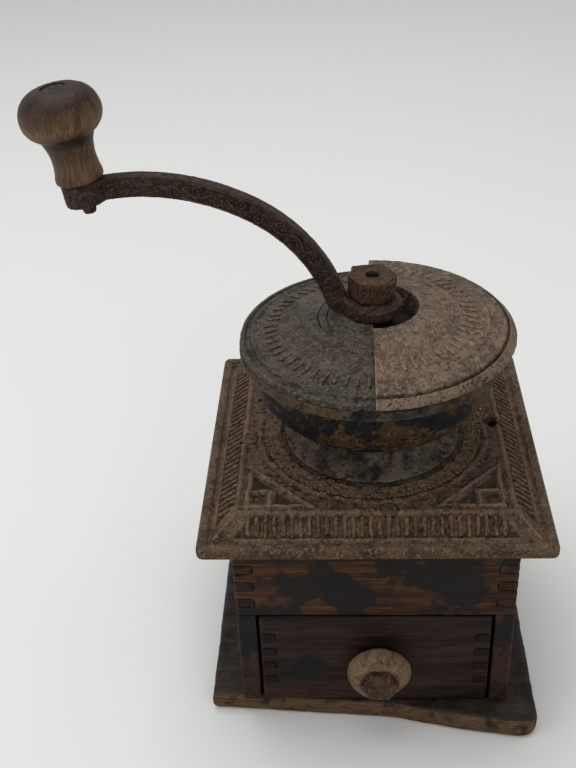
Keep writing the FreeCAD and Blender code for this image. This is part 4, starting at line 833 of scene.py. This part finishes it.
# %% Adjusting nut
nut = roughen(cast_copy("adjusting_nut", voxel=0.3, passes=5), depth=0.25, grain=3.5, seed=5.9)
keep("nut_skin", nut, "nut", "nut_steel", "adjusting_nut")

# %% [markdown]
# ## Turned wood
# The crank's knob and the drawer's pull were turned on a lathe, so they are turned here too. The
# knob leans with its pin: its points are turned upright and then moved onto the leaning axis. The
# pull has a chip out of its lower right edge, made by pressing the points there inwards.

# %% Crank knob
LEAN, EYE_X, EYE_Z, KNOB_RISE = math.radians(8.5), -129, 269, 5.6
knob_foot = (EYE_X - KNOB_RISE * math.sin(LEAN), 0, EYE_Z + KNOB_RISE * math.cos(LEAN))
lean = Matrix.Translation(knob_foot) @ Matrix.Rotation(-LEAN, 4, "Y")


def leaning(verts, faces):
    """Turned points moved onto the knob's leaning axis."""
    return [tuple(lean @ Vector(v)) for v in verts], faces


outline = [(3.25, 0), (10.1, 0, 0.3), (10.9, 0.8, 0.3)] + bend((10.9, 2.4), (9.9, 9.5), 36.0, False)
outline += bend((9.9, 9.5), (12.6, 21.2), 22.0, False) + bend((12.6, 21.2), (18.35, 30.4), 10.3, True, 18)
outline += bend((18.35, 30.4), (8.6, 42.0), 11.8, True, 20)
outline += [(8.6, 42.0, 0.6), (5.6, 42.3, 0.3), (5.6, 39.0), (3.25, 39.0)]
knob = roughen(shell("knob", *leaning(*turned(outline, 1.2, 120))), depth=0.18, grain=14.0, seed=6.6)
upright = np.array([lean.inverted() @ Vector(p) for p in read_points(knob)[0]])[:, 2]
paint(knob, "film", np.interp(upright, [0, 2, 8, 13, 19, 23, 27, 31, 35],
                              [0.1, 0.35, 0.4, 0.15, 0, 0, 0.55, 0.25, 0]))
# Crest painted as shade on the knob: a painted shadow at its foot against the eye and in a ring under the
# ball, and a darker top.
paint(knob, "crest", np.interp(upright, [0, 1, 16, 19.5, 21.5, 25, 33, 37, 42],
                               [-0.7, 0, 0, -0.7, -0.7, 0, 0, -0.45, -0.6]))
keep("knob_turning", knob, "knob", "knob_wood", "crank_knob")

# %% Rivet of the knob, clenched under the eye
outline = [(0, -16.4), (2.8, -16.2, 0.8), (3.4, -13.6, 0.6), (4.4, -10.7, 0.3), (3.2, -10.7), (3.2, 39.2),
           (5.5, 39.2), (5.5, 41.6, 0.5), (0, 42.2)]
rivet = roughen(shell("rivet", *leaning(*turned(outline, 1.2, 60))), depth=0.15, grain=2.5, seed=6.9)
keep("rivet_skin", rivet, "crank", "crank_iron", "knob_pin")

# %% Drawer pull with its chip
PULL_X, DRAWER_FACE, PULL_HEIGHT, BOLT_HOLE = 2, -68.1, 41, 4.05


def on_drawer(verts):
    """Turned points laid forward onto the drawer's face."""
    return [(PULL_X + x, DRAWER_FACE - z, PULL_HEIGHT + y) for x, y, z in verts]


def round_axis(verts):
    """Angle and radius of turned points."""
    return np.arctan2(verts[:, 1], verts[:, 0]), np.hypot(verts[:, 0], verts[:, 1])


outline = [(BOLT_HOLE, 0)] + bend((9.0, 0), (15.7, 7.0), 9.0, False)
outline += bend((15.7, 7.0), (15.7, 9.0), 2.4, True, 6) + bend((15.7, 9.0), (12.6, 14.0), 8.0, True)
outline += [(12.6, 14.0, 0.4), (11.2, 15.0, 0.4), (BOLT_HOLE, 15.0)]
verts, faces = turned(outline, 0.9, 120)
around, radius = round_axis(verts)
chip = np.exp(-((around + 0.75) / 0.33) ** 2) * np.clip((radius - 10.5) / 4, 0, 1)
chip *= np.clip((verts[:, 2] - 5) / 4, 0, 1)
verts[:, :2] *= (1 - 0.17 * chip)[:, None]
verts[:, 2] -= 1.8 * chip
pull = roughen(shell("pull", on_drawer(verts), faces), depth=0.22, grain=4.0, seed=7.7)
keep("pull_turning", pull, "drawer", "pull_wood", "drawer_pull")

# %% Bolt of the pull, with a six-sided head
SHANK, FACE, HEAD, ACROSS = 4.0, 14.8, 5.2, 8.6
outline = [(0, -4.0), (SHANK, -4.0), (SHANK, FACE), (ACROSS, FACE, 0.4), (ACROSS, FACE + HEAD - 1.6, 0.5),
           (ACROSS - 1.7, FACE + HEAD - 0.4, 0.6), (0, FACE + HEAD)]
verts, faces = turned(outline, 0.7, 96)
around, radius = round_axis(verts)
six = math.cos(math.pi / 6) / np.cos(around % (math.pi / 3) - math.pi / 6)
verts[:, :2] *= np.where(radius > SHANK + 0.1, 1.1 * six, 1.0)[:, None]
bolt = roughen(shell("bolt", on_drawer(verts), faces), depth=0.2, grain=2.6, seed=8.3)
keep("bolt_skin", bolt, "drawer", "nut_steel", "pull_bolt")

# %% [markdown]
# ## Top plate
# The plate is a rough sand casting: a rounded rim, a sloping band with a sunk channel for its ribs, a
# ridge, and a panel with a framed triangle in each corner and a roped ring round the hopper. All of
# this is a height over the plane, so the plate is one fine grid. Its outer rows roll over the edge
# and under it, and the hole under the hopper is joined to the underside so that the skin is closed.


# %% Noise and softening over the plane
def grit(grain, seed):
    """Fractal noise over the plate's grid."""
    spots = np.stack((x / grain + seed, y / grain - seed, np.full(x.shape, seed)), -1)
    return fractal(spots.reshape(-1, 3)).reshape(x.shape)


def blurred(field, cells):
    """A field softened along both directions by a bell of so many cells."""
    bell = np.exp(-(np.arange(-3 * cells, 3 * cells + 1) / cells) ** 2 / 2)
    for axis in (0, 1):
        field = np.apply_along_axis(np.convolve, axis, field, bell / bell.sum(), "same")
    return field


# %% Grid rows: over the top, round the edge and under it
HALF, BEAD, BOX_TOP, RIM_TOP, TOP_ROWS = 82.5, 2.0, 121.5, 128.0, 136
bow = np.linspace(0, QUARTER_TURN, 6)[1:]
row_out = np.concatenate((
    np.linspace(0, HALF - BEAD, TOP_ROWS), HALF - BEAD + BEAD * np.sin(bow), [HALF, HALF],
    HALF - BEAD + BEAD * np.cos(bow), [75.0, 70.0]))
row_z = np.concatenate((
    np.full(TOP_ROWS, RIM_TOP), RIM_TOP - BEAD + BEAD * np.cos(bow), [125.0, 124.2],
    BOX_TOP + BEAD - BEAD * np.sin(bow), [BOX_TOP, BOX_TOP]))
count = len(row_out)
index = np.arange(1 - count, count)
row_x, row_y = np.meshgrid(np.abs(index), np.abs(index), indexing="ij")
row = np.maximum(row_x, row_y)
widest = np.maximum.accumulate(row_out)
x = np.minimum(widest[row_x], row_out[row]) * np.sign(index)[:, None]
y = np.minimum(widest[row_y], row_out[row]) * np.sign(index)[None, :]
print("plate grid", x.shape)

# %% Rim, band and ridge
far = np.maximum(np.abs(x), np.abs(y))
near = np.minimum(np.abs(x), np.abs(y))
height = np.interp(far, [62.2, 62.9, 63.6, 64.2, 75.9, 76.6, 77.2, 78.2, 79.5, 80.5],
                   [PANEL, 135.6, 135.8, 135.5, 127.0, 126.4, 126.8, RIM_TOP, 128.1, RIM_TOP])
band = step(far, 64.4, 65.0) * (1 - step(far, 75.2, 75.8))
channel = band * step(far, 65.2, 66.0) * (1 - step(far, 73.8, 74.6)) * step(far - near, 7.5, 9.5)
mitre = band * line(far - near, 1.8)

# %% Framed triangles in the corners
PANEL_HALF, LEG, SQUARE, FRAME = 62.0, 34.0, 13.0, 2.4
sway = 0.7 * grit(8.0, 2.9)
a, b = PANEL_HALF - np.abs(x) + sway, PANEL_HALF - np.abs(y) - sway
frame_bars = np.maximum.reduce([line(a - FRAME, 1.2), line(b - FRAME, 1.2), line((a + b - LEG) * 0.7, 1.3)])
square_bars = np.maximum(line(a - SQUARE, 1.1) * (b < SQUARE + 0.6),
                         line(b - SQUARE, 1.1) * (a < SQUARE + 0.6))
in_corner = (a > 1) & (b > 1) & (a + b < LEG + 1.5)
sunk = np.maximum(step(a, 4.2, 4.8) * step(b, 15, 15.6), step(b, 4.2, 4.8) * step(a, 15, 15.6))
sunk = sunk * (1 - step(a + b, LEG - 5.0, LEG - 4.0))
well = step(a, 4.4, 5.2) * step(b, 4.4, 5.2) * (1 - step(a, 10.2, 11)) * (1 - step(b, 10.2, 11))
worn = step(grit(6.5, 8.8), -0.5, 0.1)
motif = in_corner * ((0.5 + 0.5 * worn) * np.maximum(frame_bars, square_bars) - 0.9 * sunk - 0.4 * well)

# %% Roped ring round the hopper
ROPE_TURNS, OUTER_LINE = 44, 56.6
middle_gap = np.hypot(x, y)
roped = step(middle_gap, 45.8, 46.8) * (1 - step(middle_gap, 53.4, 54.4))
rope = 0.5 + 0.5 * np.sin(ROPE_TURNS * np.arctan2(y, x) + 0.5 * middle_gap)
ring_relief = roped * (0.45 + 0.15 * rope) + 0.55 * roped * grit(1.1, 3.7)
ring_relief += (0.2 + 0.5 * worn) * line(middle_gap - OUTER_LINE + sway, 1.9)

# %% Grit, pits and screw seats, with the fourth screw's hole left empty
SCREW_LINE, SCREW_ASIDE = 61.8, 6.5
SCREW_PLACES = [(SCREW_ASIDE, -SCREW_LINE), (-SCREW_ASIDE, SCREW_LINE), (-SCREW_LINE, -SCREW_ASIDE)]
EMPTY_PLACE = (SCREW_LINE, SCREW_ASIDE)
sand = 0.6 + 0.4 * (far < PANEL_HALF)
pits = step(grit(2.4, 6.3), 0.25, 0.5)
relief = mitre * 0.6 - 0.85 * channel + motif + ring_relief
relief += sand * (0.30 * grit(5.0, 1.7) + 0.30 * grit(1.7, 4.9) - 0.5 * pits)
for place_x, place_y in SCREW_PLACES + [EMPTY_PLACE]:
    relief -= 0.9 * (1 - step(np.hypot(x - place_x, y - place_y), 4.4, 5.1))
hole = 1 - step(np.hypot(x - EMPTY_PLACE[0], y - EMPTY_PLACE[1]), 2.0, 2.7)
fade = 1 - step(far, 79.0, 80.4)
z = np.where(row < TOP_ROWS, height + relief * fade - 7.0 * hole, row_z[row])
# Crest: the relief's ridges are lighter and its grooves darker, as painted highlight and painted shade; the
# empty screw hole is painted dark, as painted shade inside it; the roped ring is lighter.
crest = np.clip((relief - blurred(relief, 4)) * 1.5, -1, 1) * (row < TOP_ROWS) - hole + 0.5 * roped
print("plate relief", relief.min().round(2), "to", relief.max().round(2), "mm")

# %% Plate skin
CORNER, MIDDLE_HOLE = HALF - 3.5, 40.5
over_x, over_y = np.abs(x) - CORNER, np.abs(y) - CORNER
in_round = (over_x > 0) & (over_y > 0)
pull_in = np.where(in_round, np.maximum(over_x, over_y) / np.maximum(np.hypot(over_x, over_y), 1e-9), 1)
x = np.where(in_round, np.sign(x) * (CORNER + over_x * pull_in), x)
y = np.where(in_round, np.sign(y) * (CORNER + over_y * pull_in), y)
side = len(index)
number = np.arange(side * side).reshape(side, side)
cells = np.stack((number[:-1, :-1], number[1:, :-1], number[1:, 1:], number[:-1, 1:]), -1).reshape(-1, 4)
cells = cells[middle_gap.ravel()[cells].min(1) > MIDDLE_HOLE]
plate = bpy.data.meshes.new("plate")
plate.from_pydata((np.column_stack((x.ravel(), y.ravel(), z.ravel())) * MM).tolist(), [], cells.tolist())
paint(plate, "crest", crest.ravel())
work = bmesh.new()
work.from_mesh(plate)
bmesh.ops.delete(work, geom=[v for v in work.verts if not v.link_faces], context="VERTS")
bmesh.ops.remove_doubles(work, verts=work.verts, dist=DOUBLE)
bmesh.ops.bridge_loops(work, edges=[e for e in work.edges if e.is_boundary])
bmesh.ops.recalc_face_normals(work, faces=work.faces)
print("open edges", sum(not e.is_manifold for e in work.edges))
work.to_mesh(plate)
work.free()
plate.shade_smooth()
keep("plate_skin", plate, "case", "plate_iron", "top_plate")

# %% [markdown]
# ## Base board
# The base's front edge is worn down to bare, pale wood. Its CAD skin is remeshed, dented with broad
# noise, and the points that face forward near that edge are painted as rubbed.

# %% Worn base
base = roughen(cast_copy("base_board", voxel=1.0, passes=4), depth=0.3, grain=16.0, seed=12.6)
points, normals = read_points(base)
forward = step(-normals[:, 1], 0.35, 0.7) * (points[:, 1] < -55)
paint(base, "film", forward * step(fractal(points / 6.0), -0.75, -0.1))
keep("base_skin", base, "case", "base_wood", "base_board")

# %% [markdown]
# ## Boards of the box and the drawer's front
# Old boards have soft corners, and dark seams where their fingers meet. A bevel on every edge would
# need care at each finger, so the CAD skins are remeshed, which rounds all edges alike. Points that
# stand out of their neighbours are edges, and are painted as rubbed where noise lets them.

# %% Worn boards
BOARDS = {"left_side": "case", "right_side": "case", "front_rail": "case", "back_board": "case",
          "drawer_front": "drawer"}
for turn_number, (board_name, body) in enumerate(BOARDS.items()):
    board = cast_copy(board_name, voxel=0.9, passes=2)
    roughen(board, depth=0.14, grain=11.0, seed=20.3 + turn_number)
    edges = bulge(board)
    broken = fractal(read_points(board)[0] / 7.0)
    paint(board, "film", 0.6 * np.clip(edges * 3.0 - 0.2, 0, 1) * step(broken, -0.2, 0.4))
    paint(board, "crest", np.clip(2.2 * edges, -1, 0))
    keep(board_name + "_skin", board, body, slot_of[board_name], board_name)
    board.materials[0] = cross_grained.get(board_name, board.materials[0])

# %% [markdown]
# ## Ornament that repeats
# The plate has a reeded band of short ribs on its four slopes, and the covers have rings of raised
# marks. Copying them by hand would fix their number, so two Geometry Nodes trees lay them out: one
# sets a row of ribs along a slope and turns it to four sides, and the other sets marks round an
# axis. A random size for each rib, from a fixed seed, gives the uneven look of an old casting.


# %% Helpers for Geometry Nodes
def grow(name, tree, values, seed_mesh=None):
    """Run a tree once with its inputs, and hand back what it makes as a plain mesh."""
    holder = placed(name + "_maker", seed_mesh or bpy.data.meshes.new(name + "_start"))
    modifier = holder.modifiers.new(tree.name, "NODES")
    modifier.node_group = tree
    for socket in tree.interface.items_tree:
        if socket.item_type == "SOCKET" and socket.in_out == "INPUT" and socket.name in values:
            modifier[socket.identifier] = values[socket.name]
    return harvested(holder)


def pebble(tree, size):
    """A small cube rounded by subdivision: a few dozen faces, for ribs, marks and beads."""
    cube = add_node(tree, "GeometryNodeMeshCube", {"Size": size, "Vertices Y": 5}).outputs["Mesh"]
    return add_node(tree, "GeometryNodeSubdivisionSurface", {"Mesh": cube, "Level": 1}).outputs[0]


def chance(tree, low, high, seed, draw=0.0):
    """A random number for each copy, from a fixed seed. A piece's later draws are counted up from it."""
    drawn_seed = reckon(tree, "ADD", seed, draw) if draw else seed
    item = add_node(tree, "FunctionNodeRandomValue", {2: low, 3: high, "Seed": drawn_seed}, data_type="FLOAT")
    return item.outputs[1]


def vector(tree, x=0.0, y=0.0, z=0.0):
    return add_node(tree, "ShaderNodeCombineXYZ", {0: x, 1: y, 2: z}).outputs[0]


def turned_about(tree, x=0.0, y=0.0, z=0.0):
    return add_node(tree, "FunctionNodeEulerToRotation", {0: vector(tree, x, y, z)}).outputs[0]


def stacked(tree, count):
    """So many points, all at the middle."""
    return add_node(tree, "GeometryNodeMeshLine", {"Count": count, "Offset": (0, 0, 0)}).outputs["Mesh"]


def shifted(tree, geometry, **ways):
    return add_node(tree, "GeometryNodeTransform", {"Geometry": geometry, **ways}).outputs[0]


def copies(tree, points, instance, **ways):
    """A copy of the instance on each point."""
    values = {"Points": points, "Instance": instance, **ways}
    return add_node(tree, "GeometryNodeInstanceOnPoints", values).outputs[0]


def wrapped_up(tree, geometry, material, out):
    """The end of each tree: real geometry, smooth, with its material."""
    real = add_node(tree, "GeometryNodeRealizeInstances", {0: geometry}).outputs[0]
    smooth = add_node(tree, "GeometryNodeSetShadeSmooth", {0: real}).outputs[0]
    dressed = add_node(tree, "GeometryNodeSetMaterial", {"Geometry": smooth, "Material": material})
    tree.links.new(dressed.outputs[0], out["Geometry"])


def new_layout(name, inputs):
    """An empty Geometry Nodes tree with its inputs, a seed, a material and one output."""
    ends = [("Seed", "Int", 1), ("Material", "Material", None)]
    return new_group(name, inputs + ends, [("Geometry", "Geometry")], "GeometryNodeTree")


print("geometry helpers ready")

# %% Tree: a row of ribs on each of four slopes
tree, given, out = new_layout("Reeded Band", [
    ("Count", "Int", 28), ("Pitch", "Float", 0.0044), ("Rib Size", "Vector", (0.003, 0.012, 0.002)),
    ("Middle", "Vector", (0, -0.07, 0.131)), ("Slope", "Float", 0.6), ("Unevenness", "Float", 0.2)])
ribs_tree = tree
row_length = product(tree, reckon(tree, "SUBTRACT", given["Count"], 1.0), given["Pitch"])
row = add_node(tree, "GeometryNodeMeshLine", {
    "Count": given["Count"], "Start Location": vector(tree, product(tree, row_length, -0.5)),
    "Offset": vector(tree, given["Pitch"])})
least = reckon(tree, "SUBTRACT", 1.0, given["Unevenness"])
size = vector(tree, chance(tree, least, 1.1, given["Seed"]), chance(tree, least, 1.05, given["Seed"], 1.0),
              chance(tree, least, 1.1, given["Seed"], 2.0))
laid = copies(tree, row.outputs["Mesh"], pebble(tree, given["Rib Size"]),
              Rotation=turned_about(tree, given["Slope"]), Scale=size)
quarter = product(tree, add_node(tree, "GeometryNodeInputIndex").outputs[0], QUARTER_TURN)
band = copies(tree, stacked(tree, 4), shifted(tree, laid, Translation=given["Middle"]),
              Rotation=turned_about(tree, z=quarter))
wrapped_up(tree, band, given["Material"], out)

# %% Reeding of the top plate
BAND_DROP, BAND_RUN, RIB_SUNK = 8.7, 12.0, 0.75
slope = math.atan2(BAND_DROP, BAND_RUN)
middle = Vector((0, -70.0, 131.35)) + Vector((0, math.sin(slope), -math.cos(slope))) * RIB_SUNK
reeding = grow("reeding", ribs_tree, {
    "Count": 30, "Pitch": 4.05 * MM, "Rib Size": Vector((2.6, 11.6, 2.7)) * MM, "Middle": middle * MM,
    "Slope": slope, "Unevenness": 0.2, "Seed": 7, "Material": finishes["plate_iron"]})
keep("plate_reeding", roughen(reeding, depth=0.28, grain=2.0, seed=9.1, lift=-0.1), "case", "plate_iron")

# %% Tree: marks set round the upright axis
tree, given, out = new_layout("Ring Of Marks", [
    ("Count", "Int", 28), ("Radius", "Float", 0.047), ("Height", "Float", 0.2), ("Start", "Float", 0.0),
    ("Turn", "Float", 3.14), ("Mark Size", "Vector", (0.008, 0.002, 0.001)), ("Slope", "Float", 0.0),
    ("Unevenness", "Float", 0.02)])
marks_tree = tree
mark = shifted(tree, pebble(tree, given["Mark Size"]),
               Translation=vector(tree, given["Radius"], 0.0, given["Height"]),
               Rotation=turned_about(tree, given["Slope"], 0.0, QUARTER_TURN))
middle_of = reckon(tree, "ADD", add_node(tree, "GeometryNodeInputIndex").outputs[0], 0.5)
share = reckon(tree, "DIVIDE", middle_of, given["Count"])
angle = reckon(tree, "ADD", given["Start"], product(tree, share, given["Turn"]))
jitter = chance(tree, product(tree, given["Unevenness"], -1.0), given["Unevenness"], given["Seed"])
set_round = copies(tree, stacked(tree, given["Count"]), mark,
                   Rotation=turned_about(tree, z=reckon(tree, "ADD", angle, jitter)))
wrapped_up(tree, set_round, given["Material"], out)


# %% Rings of marks on the covers and round the hopper's foot
def marks(name, body, slot, count, radius, height, size, part=(0.0, FULL_TURN), slope=0.0, seed=1,
          uneven=0.012):
    """A ring, or a part of one as (start, turn), of marks with their sizes in mm."""
    start, turn = part
    mesh = grow(name, marks_tree, {
        "Count": count, "Radius": radius * MM, "Height": height * MM, "Start": start, "Turn": turn,
        "Mark Size": Vector(size) * MM, "Slope": slope, "Unevenness": uneven, "Seed": seed,
        "Material": finishes[slot]})
    keep(name, roughen(mesh, depth=0.24, grain=1.8, seed=seed + 0.7, lift=0.05), body, slot)


TILT, TURNING_RING, FIXED_RING, BEAD_RING = math.atan(SLOPE), 46.5, 48.5, 53.6
marks("swing_cover_marks", "cover", "brown_cover_iron", 30, TURNING_RING, on_turning_cover(TURNING_RING),
      (2.4, 8.5, 1.7), RIGHT_HALF, TILT, seed=3)
marks("fixed_cover_marks", "case", "dark_cover_iron", 30, FIXED_RING, on_fixed_cover(FIXED_RING),
      (2.2, 7.0, 1.3), LEFT_HALF, TILT, seed=5)
marks("foot_beads", "case", "plate_iron", 150, BEAD_RING, PANEL + 0.35, (1.9, 2.3, 1.5), seed=11, uneven=0.01)

# %% [markdown]
# ## Slotted screws
# Three old wood screws hold the plate, with domed heads and a worn slot. A small tree makes one head,
# cuts its slot with a Boolean node, and sets it on each screw's place at a random turn.

# %% Tree: slotted screw heads on points
tree, given, out = new_layout("Slotted Screws", [
    ("Points", "Geometry", None), ("Head Radius", "Float", 0.005), ("Head Height", "Float", 0.002),
    ("Slot Width", "Float", 0.0011)])
screws_tree = tree
ball = add_node(tree, "GeometryNodeMeshUVSphere", {
    "Segments": 40, "Rings": 24, "Radius": given["Head Radius"]}).outputs[0]
flatness = reckon(tree, "DIVIDE", given["Head Height"], given["Head Radius"])
dome = shifted(tree, ball, Scale=vector(tree, 1.0, 1.0, flatness))
slot_size = vector(tree, product(tree, given["Head Radius"], 3.0), given["Slot Width"], given["Head Height"])
slot_bar = add_node(tree, "GeometryNodeMeshCube", {"Size": slot_size}).outputs[0]
slot_cut = shifted(tree, slot_bar, Translation=vector(tree, z=given["Head Height"]))
head = add_node(tree, "GeometryNodeMeshBoolean", {"Mesh 1": dome, "Mesh 2": slot_cut},
                operation="DIFFERENCE", solver="EXACT").outputs[0]
random_turn = turned_about(tree, z=chance(tree, 0.0, 3.1, given["Seed"]))
heads = copies(tree, given["Points"], head, Rotation=random_turn)
wrapped_up(tree, heads, given["Material"], out)

# %% Plate screws
SCREW_Z = PANEL - 0.7
places = bpy.data.meshes.new("screw places")
places.from_pydata([Vector((*place, SCREW_Z)) * MM for place in SCREW_PLACES], [], [])
screws = grow("plate_screw_heads", screws_tree, {
    "Head Radius": 4.2 * MM, "Head Height": 1.7 * MM, "Slot Width": 1.0 * MM, "Seed": 4,
    "Material": finishes["screw_steel"]}, places)
screws.set_sharp_from_angle(angle=math.radians(40))
roughen(screws, depth=0.12, grain=2.0, seed=13.1, lift=0.1)
keep("plate_screw_heads", screws, "case", "screw_steel", "plate_screws")

# %% [markdown]
# ## Crumbs
# A few pale crumbs of old dust lie in the ring and on the panel. A tree strews tiny grains between two
# radii and two angles, so that no grain has to be placed by hand.

# %% Tree: grains strewn over part of a ring
tree, given, out = new_layout("Strewn Crumbs", [
    ("Count", "Int", 40), ("Inner Radius", "Float", 0.046), ("Outer Radius", "Float", 0.056),
    ("First Angle", "Float", 0.0), ("Last Angle", "Float", 1.0), ("Height", "Float", 0.135),
    ("Grain Size", "Float", 0.0004)])
crumbs_tree = tree
turn = chance(tree, given["First Angle"], given["Last Angle"], given["Seed"])
away = chance(tree, given["Inner Radius"], given["Outer Radius"], given["Seed"], 1.0)
strewn_place = vector(tree, product(tree, away, reckon(tree, "COSINE", turn, 0.0)),
                      product(tree, away, reckon(tree, "SINE", turn, 0.0)), given["Height"])
spots = add_node(tree, "GeometryNodeSetPosition", {
    "Geometry": stacked(tree, given["Count"]), "Position": strewn_place}).outputs[0]
grain = add_node(tree, "GeometryNodeMeshIcoSphere", {"Radius": given["Grain Size"], "Subdivisions": 1})
strewn = copies(tree, spots, grain.outputs["Mesh"], Scale=chance(tree, 0.5, 1.4, given["Seed"], 2.0))
wrapped_up(tree, strewn, given["Material"], out)

# %% Crumbs in the ring and on the panel
CRUMB_Z = PANEL + 0.75
crumb_tone, tree, shader = new_finish("pale crumbs")
tone = mixed(tree, cloud(tree, 400.0, 2.0), (0.24, 0.20, 0.15), (0.55, 0.50, 0.42))
tree.links.new(tone, shader.inputs["Base Color"])
for name, count, inner, outer, first, last, size in (
        ("ring_crumbs", 44, 46.0, 58.0, -2.40, -1.45, 0.24),
        ("panel_crumbs", 4, 57.0, 61.0, 0.2, 0.6, 0.5)):
    mesh = grow(name, crumbs_tree, {
        "Count": count, "Inner Radius": inner * MM, "Outer Radius": outer * MM, "First Angle": first,
        "Last Angle": last, "Height": CRUMB_Z * MM, "Grain Size": size * MM, "Seed": 8,
        "Material": crumb_tone})
    keep(name, mesh, "case", "plate_iron").data.materials[0] = crumb_tone
